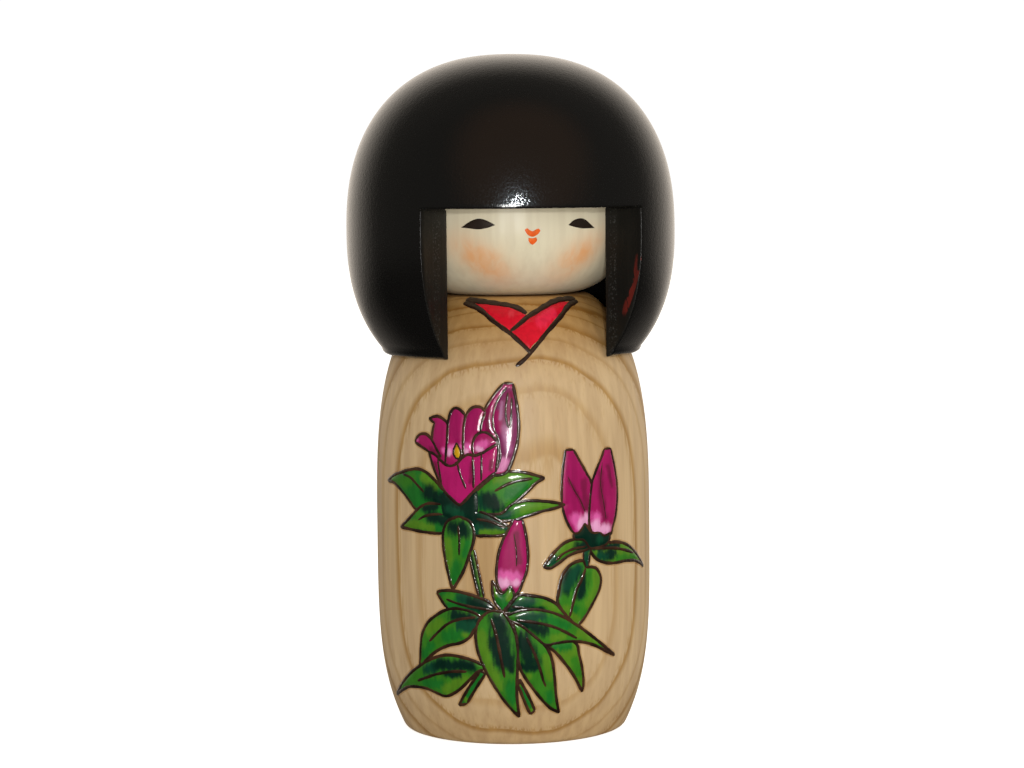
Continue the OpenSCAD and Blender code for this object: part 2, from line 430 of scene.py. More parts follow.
def year_lines(tree, place, distance, ring_shift):
    """How dark the late wood is at each place, from 0 to 1."""
    slow = noise(tree, place, 18, 2, (1, 1, 0.35))
    waves = noise(tree, place, 90, 3, (1, 1, 0.12))
    narrow, wide = SHOULDER_YEARS
    uneven = times(tree, maths(tree, "SINE", times(tree, distance, 1.6)),
                   step(tree, distance, wide, narrow, 0.0, 0.5))
    bent = plus(tree, distance, times(tree, slow, 4.0))
    bent = plus(tree, plus(tree, bent, uneven), times(tree, waves, 0.9))
    years = maths(tree, "DIVIDE", plus(tree, bent, ring_shift), YEAR)
    years = minus(tree, years, 1.0 - LATE_END)
    phase = maths(tree, "FRACT", years)
    tone = add(tree, "ShaderNodeTexWhiteNoise", {"W": maths(tree, "FLOOR", years)},
               noise_dimensions="1D")
    late = step(tree, phase, LATE_START, LATE_END)
    sharp = step(tree, phase, LATE_END + SHARP_EDGE, LATE_END)
    teeth = step(tree, noise(tree, place, 2400, 2, (1, 1, 0.05)), 0.46, 0.6, 0.0, 0.9)
    comb = times(tree, step(tree, phase, TEETH_END, LATE_END), teeth)
    line = times(tree, late, maths(tree, "MAXIMUM", sharp, comb))
    return times(tree, line, plus(tree, times(tree, tone.outputs["Value"], 0.5), 0.36))


def wood_finish(name, pale, tan, brown, ring_shift=0.0, roughness=(0.42, 0.6), gloss=0.3):
    finish, tree, shader = new_finish(name, Specular_IOR_Level=gloss)
    place = object_place(tree)
    centred = vector_maths(tree, "SUBTRACT", place, (PITH[0] * MM, PITH[1] * MM, 0))
    flat = vector_maths(tree, "MULTIPLY", centred, (1 / MM, 1 / MM, 0))
    distance = vector_maths(tree, "LENGTH", flat, (0, 0, 0), "Value")
    line = year_lines(tree, place, distance, ring_shift)
    ground = mixed(tree, noise(tree, place, 30, 3, (1, 1, 0.2)), pale, tan)
    # Painted shade: the wood is darkened towards the front, where the outer years lie.
    front_shade = step(tree, distance, FRONT_SHADE_START, FRONT_SHADE_END)
    ground = mixed(tree, front_shade, ground, FRONT_PAINTED_SHADE, "MULTIPLY")
    coloured = mixed(tree, line, ground, brown)
    pores = noise(tree, place, 2200, 2, (1, 1, 0.035))
    pore_mark = times(tree, step(tree, pores, 0.58, 0.7), 0.13)
    coloured = mixed(tree, pore_mark, coloured, brown)
    fibres = noise(tree, place, 600, 3, (1, 1, 0.05))
    light_fibres = step(tree, fibres, 0.3, 0.7, 0.0, 0.35)
    coloured = mixed(tree, light_fibres, coloured, WOOD_LIGHT, "SOFT_LIGHT")
    # Painted shade: darker and more golden at the shoulder under the hair (partly its own tone) and at
    # the foot.
    height = height_of(tree, place)
    shoulder = step(tree, height, SHOULDER_LOW * MM, SHOULDER_HIGH * MM, 0.0, SHOULDER_TONE_AND_SHADE)
    foot = step(tree, height, FOOT_HIGH * MM, 0.0, 0.0, FOOT_PAINTED_SHADE)
    coloured = mixed(tree, plus(tree, shoulder, foot), coloured, GOLDEN_SHADE, "MULTIPLY")
    dress(tree, shader, coloured, step(tree, fibres, 0.3, 0.7, *roughness))
    relief(tree, shader, minus(tree, fibres, times(tree, pore_mark, 1.5)), 0.00004, 0.5)
    return finish


body_wood = wood_finish("body_wood", (0.64, 0.455, 0.265), (0.565, 0.385, 0.207),
                        (0.33, 0.165, 0.03))
peg_wood = wood_finish("peg_wood", (0.62, 0.47, 0.30), (0.54, 0.38, 0.22), (0.34, 0.2, 0.09), 0.7)

# %% [markdown]
# ## Body
# The body is a barrel with a small flat foot and a narrow flat top that the head sits on.
# Above its widest ring it follows a superellipse, and below it draws in gently to the foot.
# The same two rules give the surface that the painting later lies on, so they are functions.

# %% Body form
BODY_R, BODY_MID, BODY_TOP = 30.5, 46.0, 97.0
CROWN, CROWN_POWER = 54.5, 3
FOOT_DRAW, FOOT_POWER = 6.0, 4
FOOT_EDGE, TOP_EDGE = 1.2, 0.6
BORE_R, BORE_FLOOR = 6.05, 70.5
BODY_ROWS, ROW_CROWDING = 96, 1.1


def body_radius(z):
    if z >= BODY_MID:
        return BODY_R * (1 - ((z - BODY_MID) / CROWN) ** CROWN_POWER) ** (1 / CROWN_POWER)
    return BODY_R - FOOT_DRAW * ((BODY_MID - z) / BODY_MID) ** FOOT_POWER


def round_over(a, corner, b, steps=5):
    """Points of a rounded corner, from a to b, as a quadratic curve."""
    a, corner, b = Vector(a), Vector(corner), Vector(b)
    curve = []
    for i in range(steps + 1):
        t = i / steps
        curve.append(tuple(a * (1 - t) ** 2 + corner * 2 * t * (1 - t) + b * t * t))
    return curve


def body_profile():
    """Radius and height of the outline, from the middle of the foot up and down into the bore."""
    foot, top = body_radius(0), body_radius(BODY_TOP)
    low, high = FOOT_EDGE, BODY_TOP - TOP_EDGE
    outer = [(0, 0), (BORE_R, 0), (foot / 2, 0)]
    outer += round_over((foot - FOOT_EDGE, 0), (foot, 0), (body_radius(low), low))
    for i in range(1, BODY_ROWS):
        share = math.sin(math.pi / 2 * i / BODY_ROWS) ** ROW_CROWDING
        z = low + (high - low) * share
        outer.append((body_radius(z), z))
    outer += round_over((body_radius(high), high), (top, BODY_TOP), (top - TOP_EDGE, BODY_TOP))
    return outer + [((top + BORE_R) / 2, BODY_TOP), (BORE_R, BODY_TOP),
                    (BORE_R, BORE_FLOOR), (0, BORE_FLOOR)]


body = turned("turned_body", body_profile(), body_wood)
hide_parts("body")
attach(body, "body")
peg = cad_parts["neck_peg"]
peg.data.materials.clear()
peg.data.materials.append(peg_wood)
print("body radius at the shoulder, mm:", round(body_radius(84), 2))

# %% [markdown]
# ## Face
# The face is a pale turned core whose rounded lower edge is the chin. It is painted ivory over
# the wood, and powdery blush is brushed on each cheek. The blush is soft, so it is a value
# stored on the surface's points, and the finish breaks it into brush marks.

# %% Face form
HAIR_BORE = 26.9
CORE_R, CORE_BOTTOM, CORE_TOP = 26.85, 97.15, 136.0
CHIN_ROUND, CHIN_ROWS, CORE_ROWS = 15.0, 28, 24
PEG_R = 6.0


def core_radius(z):
    rise = CORE_BOTTOM + CHIN_ROUND - z
    if rise <= 0:
        return CORE_R
    return CORE_R - CHIN_ROUND + math.sqrt(max(CHIN_ROUND ** 2 - rise ** 2, 0))


def core_profile():
    points = [(0, CORE_BOTTOM), (PEG_R, CORE_BOTTOM)]
    for i in range(CHIN_ROWS + 1):
        z = CORE_BOTTOM + CHIN_ROUND * (1 - math.cos(math.pi / 2 * i / CHIN_ROWS))
        points.append((core_radius(z), z))
    top = points[-1][1]
    points += [(CORE_R, top + (CORE_TOP - top) * i / CORE_ROWS) for i in range(1, CORE_ROWS + 1)]
    return points + [(0, CORE_TOP)]


# %% Face paint
IVORY, IVORY_DEEP = (0.77, 0.69, 0.50), (0.74, 0.655, 0.475)
GRAIN_BROWN = (0.50, 0.40, 0.26)
BLUSH_COLOUR, BLUSH_STRENGTH = (0.80, 0.33, 0.10), 0.85
BLUSHES = [((-11.4, 105.2), 7.8, 3.9, -30), ((12.5, 105.8), 7.2, 3.8, 32)]
BLUSH_FALL = 1.1


def oval(s, z, middle, half_long, half_short, degrees):
    """1 in the middle of a turned oval, falling smoothly to 0 at its edge and beyond."""
    a = math.radians(degrees)
    x, y = s - middle[0], z - middle[1]
    long = (x * math.cos(a) + y * math.sin(a)) / half_long
    short = (-x * math.sin(a) + y * math.cos(a)) / half_short
    return math.exp(-BLUSH_FALL * (long * long + short * short))


def face_finish():
    finish, tree, shader = new_finish("face_paint", Specular_IOR_Level=0.35)
    place = object_place(tree)
    grain = noise(tree, place, 500, 3, (1, 1, 0.06))
    ivory = mixed(tree, noise(tree, place, 45, 3), IVORY, IVORY_DEEP)
    ivory = mixed(tree, step(tree, grain, 0.35, 0.7, 0.0, 0.22), ivory, GRAIN_BROWN)
    blush = add(tree, "ShaderNodeAttribute", attribute_name="blush").outputs["Fac"]
    brush = noise(tree, place, 420, 4, (1, 1, 0.55), 0.6)
    dusted = times(tree, blush, step(tree, brush, 0.25, 0.75, 0.55, 1.05))
    dusted = maths(tree, "MULTIPLY", dusted, BLUSH_STRENGTH, True)
    warm = mixed(tree, dusted, ivory, BLUSH_COLOUR)
    dress(tree, shader, warm, step(tree, grain, 0.3, 0.7, 0.36, 0.5))
    relief(tree, shader, grain, 0.00003, 0.4)
    return finish


face = turned("face_core_turned", core_profile(), face_finish())
blush = face.data.attributes.new("blush", "FLOAT", "POINT")
values = []
for vertex in face.data.vertices:
    x, y, z = (c / MM for c in vertex.co)
    s = math.atan2(x, -y) * CORE_R
    values.append(min(1.0, sum(oval(s, z, *b) for b in BLUSHES)))
blush.data.foreach_set("value", values)
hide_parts("face_core")
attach(face, "head")

# %% [markdown]
# ## Hair
# The hair is a turned cap with a straight bore. The front is sawn away below the fringe, which
# leaves two curtains with flat sawn faces. The cap is built as rings of points: rings above the
# fringe are closed, and rings below it are open at the front. Building the opening into the
# rings keeps its edges clean, where cutting a finished dome would leave slivers for the bevel.

# %% Hair outline
HAIR_R, HAIR_MID, HAIR_TOP = 36.5, 111.0, 150.0
HAIR_DOWN, HAIR_POWER = 37.0, 2.36
HAIR_LIP, LIP_ROLL = 83.8, 1.5
FRINGE_Z = 116.4
NOTCH_IN, NOTCH_OUT = math.radians(39.8), math.radians(40.9)
FRONT_COLUMNS, BACK_COLUMNS = 60, 200
CURTAIN_ROWS, LIP_ROWS, CROWN_ROWS, CEILING_ROWS, BORE_ROWS = 30, 8, 60, 4, 8
BANDS = 8


def hair_radius(z):
    reach = HAIR_TOP - HAIR_MID if z > HAIR_MID else HAIR_DOWN
    share = min(1.0, abs(z - HAIR_MID) / reach)
    return HAIR_R * (1 - share ** HAIR_POWER) ** (1 / HAIR_POWER)


def notch_angle(r):
    """Angle at which a circle of radius r meets the flat sawn face."""
    inner = Vector((HAIR_BORE * math.sin(NOTCH_IN), HAIR_BORE * math.cos(NOTCH_IN)))
    outer = Vector((HAIR_R * math.sin(NOTCH_OUT), HAIR_R * math.cos(NOTCH_OUT)))
    way = (outer - inner).normalized()
    across = inner.x * way.y - inner.y * way.x
    along = math.atan2(way.x, way.y)
    return along + math.asin(max(-1.0, min(1.0, across / max(r, HAIR_BORE))))


def hair_rows():
    """Profile of the cap as (radius, height, open at the front), from the bore's ceiling
    down, round the lip and up to the crown."""
    low = HAIR_LIP + LIP_ROLL
    levels = [low + (FRINGE_Z - low) * i / CURTAIN_ROWS for i in range(CURTAIN_ROWS + 1)]
    rows = [(HAIR_BORE * i / CEILING_ROWS, CORE_TOP, False) for i in range(1, CEILING_ROWS + 1)]
    drop = FRINGE_Z - CORE_TOP
    rows += [(HAIR_BORE, CORE_TOP + drop * i / BORE_ROWS, False) for i in range(1, BORE_ROWS)]
    rows += [(HAIR_BORE, z, True) for z in reversed(levels)]
    width = hair_radius(low) - HAIR_BORE
    for i in range(LIP_ROWS):
        a = math.pi / 2 * i / LIP_ROWS
        rows.append((HAIR_BORE + width * math.sin(a), low - LIP_ROLL * math.cos(a), True))
    rows += [(hair_radius(z), z, True) for z in levels]
    start = math.asin(((FRINGE_Z - HAIR_MID) / (HAIR_TOP - HAIR_MID)) ** (HAIR_POWER / 2))
    for i in range(1, CROWN_ROWS):
        a = start + (math.pi / 2 - start) * i / CROWN_ROWS
        z = HAIR_MID + (HAIR_TOP - HAIR_MID) * math.sin(a) ** (2 / HAIR_POWER)
        rows.append((HAIR_R * math.cos(a) ** (2 / HAIR_POWER), z, False))
    return rows


def column_angles(r):
    edge = notch_angle(r)
    front = [-edge + 2 * edge * i / FRONT_COLUMNS for i in range(FRONT_COLUMNS)]
    back = [edge + (2 * math.pi - 2 * edge) * i / BACK_COLUMNS for i in range(BACK_COLUMNS)]
    return front + back


# %% Rings, sawn faces and lips of the hair
def sawn_strip(work, near, far):
    for a, b, c, d in zip(near, near[1:], far[1:], far):
        work.faces.new((a, b, c, d)).material_index = 1


def ring_skin(work, rows, rings):
    """Faces between the rings, left out where the front is open, and the two poles."""
    count = FRONT_COLUMNS + BACK_COLUMNS
    for k, (lower, upper) in enumerate(zip(rings, rings[1:])):
        both_open = rows[k][2] and rows[k + 1][2]
        for i in range(FRONT_COLUMNS if both_open else 0, count):
            j = (i + 1) % count
            work.faces.new((lower[i], lower[j], upper[j], upper[i]))
    for ring, z in ((rings[0], CORE_TOP), (rings[-1], HAIR_TOP)):
        pole = work.verts.new((0, 0, z * MM))
        for i in range(count):
            work.faces.new((ring[i], ring[(i + 1) % count], pole))


def fringe_shelf(work, inner, outer):
    """Rows of points under the fringe, from the bore out to the turned surface."""
    shelf = [inner[:FRONT_COLUMNS + 1]]
    for k in range(1, BANDS):
        shelf.append([work.verts.new(inner[i].co.lerp(outer[i].co, k / BANDS))
                      for i in range(FRONT_COLUMNS + 1)])
    shelf.append(outer[:FRONT_COLUMNS + 1])
    for near, far in zip(shelf, shelf[1:]):
        sawn_strip(work, near, far)
    return shelf


def curtain_face(work, column, shelf, opening):
    """The flat sawn face on one side of the opening, and its end at the lip."""
    levels = CURTAIN_ROWS + 1
    bore_side = [ring[column] for ring in opening[:levels]]
    out_side = [ring[column] for ring in opening[:-levels - 1:-1]]
    strips = [bore_side]
    for k in range(1, BANDS):
        strip = [shelf[k][column]]
        for a, b in zip(bore_side[1:], out_side[1:]):
            strip.append(work.verts.new(a.co.lerp(b.co, k / BANDS)))
        strips.append(strip)
    strips.append(out_side)
    for near, far in zip(strips, strips[1:]):
        sawn_strip(work, near, far)
    lip = [ring[column] for ring in opening[levels - 1:len(opening) - levels + 1]]
    lip += [strip[-1] for strip in reversed(strips[1:-1])]
    work.faces.new(lip).material_index = 1


def hair_mesh(lacquer, sawn):
    work = bmesh.new()
    rows = hair_rows()
    rings = []
    for r, z, _ in rows:
        rings.append([work.verts.new((r * math.sin(a) * MM, -r * math.cos(a) * MM, z * MM))
                      for a in column_angles(r)])
    ring_skin(work, rows, rings)
    opening = [ring for ring, row in zip(rings, rows) if row[2]]
    shelf = fringe_shelf(work, opening[0], opening[-1])
    for column in (0, FRONT_COLUMNS):
        curtain_face(work, column, shelf, opening)
    mesh = bpy.data.meshes.new("hair_cap_turned")
    faces_out(work, mesh)
    mesh.materials.append(lacquer)
    mesh.materials.append(sawn)
    return mesh


# %% [markdown]
# Two finishes go on the hair. The turned surface has a deep gloss lacquer: a near-black coat
# with a clear layer over it, faintly rippled, which breaks up the lamp's spark. The sawn faces
# are end cuts in the same dark stain, duller, with the saw's upright grain still showing.

# %% Lacquer
LACQUER, LACQUER_CLOUD = (0.0040, 0.0038, 0.0036), (0.0066, 0.0061, 0.0056)
LACQUER_DUST = (0.03, 0.024, 0.02)


def lacquer_finish():
    finish, tree, shader = new_finish(
        "hair_lacquer", Coat_Weight=1.0, Coat_Roughness=0.09, Coat_IOR=1.45,
        Specular_IOR_Level=0.1, Specular_Tint=(0.7, 0.88, 1.0, 1))
    place = object_place(tree)
    black = mixed(tree, noise(tree, place, 35, 3), LACQUER, LACQUER_CLOUD)
    speck = noise(tree, place, 2300, 2)
    dusty = mixed(tree, step(tree, speck, 0.7, 0.76, 0.0, 0.3), black, LACQUER_DUST)
    dress(tree, shader, dusty, step(tree, speck, 0.3, 0.7, 0.2, 0.3))
    grit = noise(tree, place, 1100, 1)
    relief(tree, shader, plus(tree, speck, times(tree, grit, 0.7)), 0.00005, 0.62)
    return finish


# %% [markdown]
# On the sawn faces, upright rows of pale dots are painted in the grain as glints, painted
# highlights of the lamp, and along part of the outer edge the black is rubbed through to a red
# ground. The rub has to follow the edge, so the finish works out where the edge is: it lays a
# parabola through three of its points and measures how far inside it a place lies.

# %% Sawn faces
SAWN, SAWN_WORN = (0.0035, 0.0033, 0.0028), (0.011, 0.010, 0.008)
# Painted highlight: the pale colour and amount of the glint dots in the sawn grain.
SAW_GLINT, GLINT_AMOUNT = (0.12, 0.125, 0.12), 0.32
RUB_RED = (0.115, 0.012, 0.008)
RUB_LOW, RUB_MIDDLE, RUB_HIGH = 90, 98, 106
RUB_FOOT, RUB_TOP = (92.4, 94.2), (106.6, 105.4)
RUB_WIDTH, RUB_LEAN, RUB_LEVEL = (-0.4, 1.05), 0.075, 105.0


def facet_edge(z):
    """Distance in mm from the middle plane to the outer edge of a sawn face, at height z."""
    r = hair_radius(z)
    return r * math.sin(notch_angle(r))


def edge_depth(tree, x, z):
    """How far a place on the sawn face lies inside its outer edge, in mm."""
    low, middle, high = (facet_edge(v) for v in (RUB_LOW, RUB_MIDDLE, RUB_HIGH))
    t = maths(tree, "DIVIDE", minus(tree, z, RUB_MIDDLE), RUB_MIDDLE - RUB_LOW)
    bend = times(tree, times(tree, t, t), (low + high) / 2 - middle)
    edge = plus(tree, times(tree, t, (high - low) / 2), bend)
    return minus(tree, plus(tree, edge, middle), x)


def red_rub(tree, place, streaks):
    place_mm = vector_maths(tree, "MULTIPLY", place, (1 / MM, 1 / MM, 1 / MM))
    split = add(tree, "ShaderNodeSeparateXYZ", {0: place_mm})
    x, z = split.outputs["X"], split.outputs["Z"]
    depth = edge_depth(tree, x, z)
    flakes = noise(tree, place, 420, 3, (1, 1, 0.45))
    width = step(tree, flakes, 0.36, 0.62, *RUB_WIDTH)
    drift = times(tree, minus(tree, RUB_LEVEL, z), RUB_LEAN)
    inner = step(tree, minus(tree, depth, plus(tree, width, drift)), 0.15, -0.15)
    outer = step(tree, minus(tree, depth, drift), -0.15, 0.05)
    span = times(tree, step(tree, z, *RUB_FOOT), step(tree, z, *RUB_TOP))
    rub = times(tree, times(tree, inner, outer), span)
    return times(tree, rub, step(tree, streaks, 0.3, 0.6, 0.5, 1.0))


def sawn_finish():
    finish, tree, shader = new_finish("sawn_hair", Specular_IOR_Level=0.22)
    place = object_place(tree)
    streaks = noise(tree, place, 900, 4, (1, 1, 0.035), 0.3)
    patches = noise(tree, place, 130, 3, (1, 1, 0.25))
    glint_noise = noise(tree, place, 2500, 2)
    rows = noise(tree, place, 420, 1, (1, 1, 0.02))
    # Painted glints: pale dots in upright rows stand in for the lamp's sparkle on the grain.
    glint_dots = times(tree, step(tree, glint_noise, 0.56, 0.66), step(tree, rows, 0.48, 0.62))
    dark = mixed(tree, streaks, SAWN, SAWN_WORN)
    dark = mixed(tree, times(tree, glint_dots, GLINT_AMOUNT), dark, SAW_GLINT)
    rubbed = mixed(tree, red_rub(tree, place, streaks), dark, RUB_RED)
    dress(tree, shader, rubbed, step(tree, patches, 0.3, 0.7, 0.3, 0.5))
    relief(tree, shader, plus(tree, streaks, glint_noise), 0.00008, 0.6)
    return finish


# %% [markdown]
# The cap's edges are broken with a small Bevel, and where the fringe meets the curtains the saw
# ran a little too far, which left a thin kerf. A Boolean cuts it from the finished cap, because
# a slot this thin would need its own rows and columns in the rings.

# %% Bevel the cap and saw the kerf
HAIR_EDGE, EDGE_STEPS, EDGE_ANGLE = 0.35, 3, 40
KERF_HEIGHT, KERF_DEEP, KERF_PROUD = 0.4, 0.5, 0.3
KERF_START, KERF_END, KERF_OVERLAP = -0.02, 1.2, 0.01


def kerf_cutter():
    work = bmesh.new()
    inner = Vector((math.sin(NOTCH_IN), -math.cos(NOTCH_IN))) * HAIR_BORE
    outer = Vector((math.sin(NOTCH_OUT), -math.cos(NOTCH_OUT))) * HAIR_R
    across = outer - inner
    near, far = inner + across * KERF_START, inner + across * KERF_END
    out = Vector((-across.y, across.x)).normalized()
    corners = [near - out * KERF_PROUD, far - out * KERF_PROUD,
               far + out * KERF_DEEP, near + out * KERF_DEEP]
    for side in (-1, 1):
        low, high = ([work.verts.new((side * c.x * MM, c.y * MM, z * MM)) for c in corners]
                     for z in (FRINGE_Z - KERF_HEIGHT, FRINGE_Z + KERF_OVERLAP))
        work.faces.new(low)
        work.faces.new(high)
        for i in range(4):
            j = (i + 1) % 4
            work.faces.new((low[i], low[j], high[j], high[i]))
    bmesh.ops.recalc_face_normals(work, faces=work.faces)
    mesh = bpy.data.meshes.new("kerf")
    work.to_mesh(mesh)
    work.free()
    return mesh


def applied(piece):
    """Bakes a piece's modifiers into its mesh."""
    graph = bpy.context.evaluated_depsgraph_get()
    mesh = bpy.data.meshes.new_from_object(piece.evaluated_get(graph))
    piece.modifiers.clear()
    piece.data = mesh


hair = link("hair_cap_turned", hair_mesh(lacquer_finish(), sawn_finish()))
bevel = hair.modifiers.new("edge", "BEVEL")
bevel.width = HAIR_EDGE * MM
bevel.segments = EDGE_STEPS
bevel.limit_method = "ANGLE"
bevel.angle_limit = math.radians(EDGE_ANGLE)
bevel.use_clamp_overlap = False
kerf = link("kerf", kerf_cutter())
kerf.data.materials.append(hair.data.materials[1])
saw = hair.modifiers.new("kerf", "BOOLEAN")
saw.operation = "DIFFERENCE"
saw.object = kerf
saw.solver = "EXACT"
applied(hair)
bpy.data.objects.remove(kerf)
shaded(hair.data)
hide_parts("hair_cap")
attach(hair, "head")
print("hair faces:", len(hair.data.polygons))

# %% [markdown]
# ## The drawing
# The flowers are drawn flat and then laid on the body. A point of the drawing is (s, z): z is
# the height, and s is the way round the body, measured as on a drum of 30 mm radius. Drawing
# flat keeps the shapes easy to read and to change, and the same two functions carry enamel,
# lines and lacquer round the doll, so they always meet.

# %% Drawing on the turned surface
DRUM = 30.0


def normal_lean(radius_at, z, step_z=0.05):
    """Outward and upward parts of the surface normal at a height."""
    slope = (radius_at(z + step_z) - radius_at(z - step_z)) / (2 * step_z)
    size = math.hypot(1, slope)
    return 1 / size, -slope / size


def laid(s, z, lift, radius_at, drum):
    """The place in metres of a drawn point that is lifted off the surface by lift mm."""
    out, up = normal_lean(radius_at, z)
    r = radius_at(z) + lift * out
    a = s / drum
    return Vector((r * math.sin(a), -r * math.cos(a), z + lift * up)) * MM


def smooth_line(points, gap=0.45):
    """A Catmull-Rom curve through the points, as closely spaced points."""
    p = [Vector(q) for q in points]
    if len(p) == 2:
        p.insert(1, (p[0] + p[1]) / 2)
    p = [p[0] * 2 - p[1]] + p + [p[-1] * 2 - p[-2]]
    line = []
    for a, b, c, d in zip(p, p[1:], p[2:], p[3:]):
        count = max(1, round((c - b).length / gap))
        for i in range(count):
            t = i / count
            line.append(0.5 * (2 * b + (c - a) * t + (2 * a - 5 * b + 4 * c - d) * t * t
                               + (3 * b - a - 3 * c + d) * t ** 3))
    return line + [p[-2]]


# %% Colours of the enamel
GRASS = (0.035, 0.195, 0.012)
EMERALD = (0.010, 0.155, 0.017)
MOSS = (0.085, 0.225, 0.012)
PINE = (0.0015, 0.021, 0.012)
JADE = (0.004, 0.058, 0.026)
MAGENTA = (0.345, 0.006, 0.10)
CERISE = (0.43, 0.007, 0.125)
WINE = (0.20, 0.006, 0.055)
PINK = (0.70, 0.10, 0.36)
BLOSSOM = (0.82, 0.36, 0.60)
LILAC = (0.21, 0.028, 0.105)
CRIMSON = (0.66, 0.006, 0.022)
OCHRE = (0.60, 0.32, 0.006)
DUSK = (0.36, 0.10, 0.24)
MAUVE = (0.40, 0.15, 0.30)
ROSE = (0.75, 0.26, 0.50)
AMBER = (0.30, 0.14, 0.006)
SCARLET = (0.70, 0.03, 0.05)
POPPY = (0.78, 0.02, 0.06)
print("darkest enamel green:", PINE)

# %% [markdown]
# Each shape is a few smooth sides that meet in corners, listed from the back of the picture to
# the front. A side starts where the one before it ended, and the last one runs back to the first
# point, so an empty side is a straight edge home. After the sides come the ground colour and the
# washes, which are the brush strokes on it: a colour, a radius and the stroke's path. The last
# number is the width of the burnt outline in mm.

# %% Shapes of the drawing, back to front
def shape(name, kind, sides, ground, washes=(), line=0.9):
    home = sides[0][0]
    closed = [sides[0]]
    for side in sides[1:]:
        closed.append([closed[-1][-1], *side])
    closed[-1] = [*closed[-1], home]
    return {"name": name, "kind": kind, "sides": closed, "ground": ground,
            "washes": washes, "line": line}


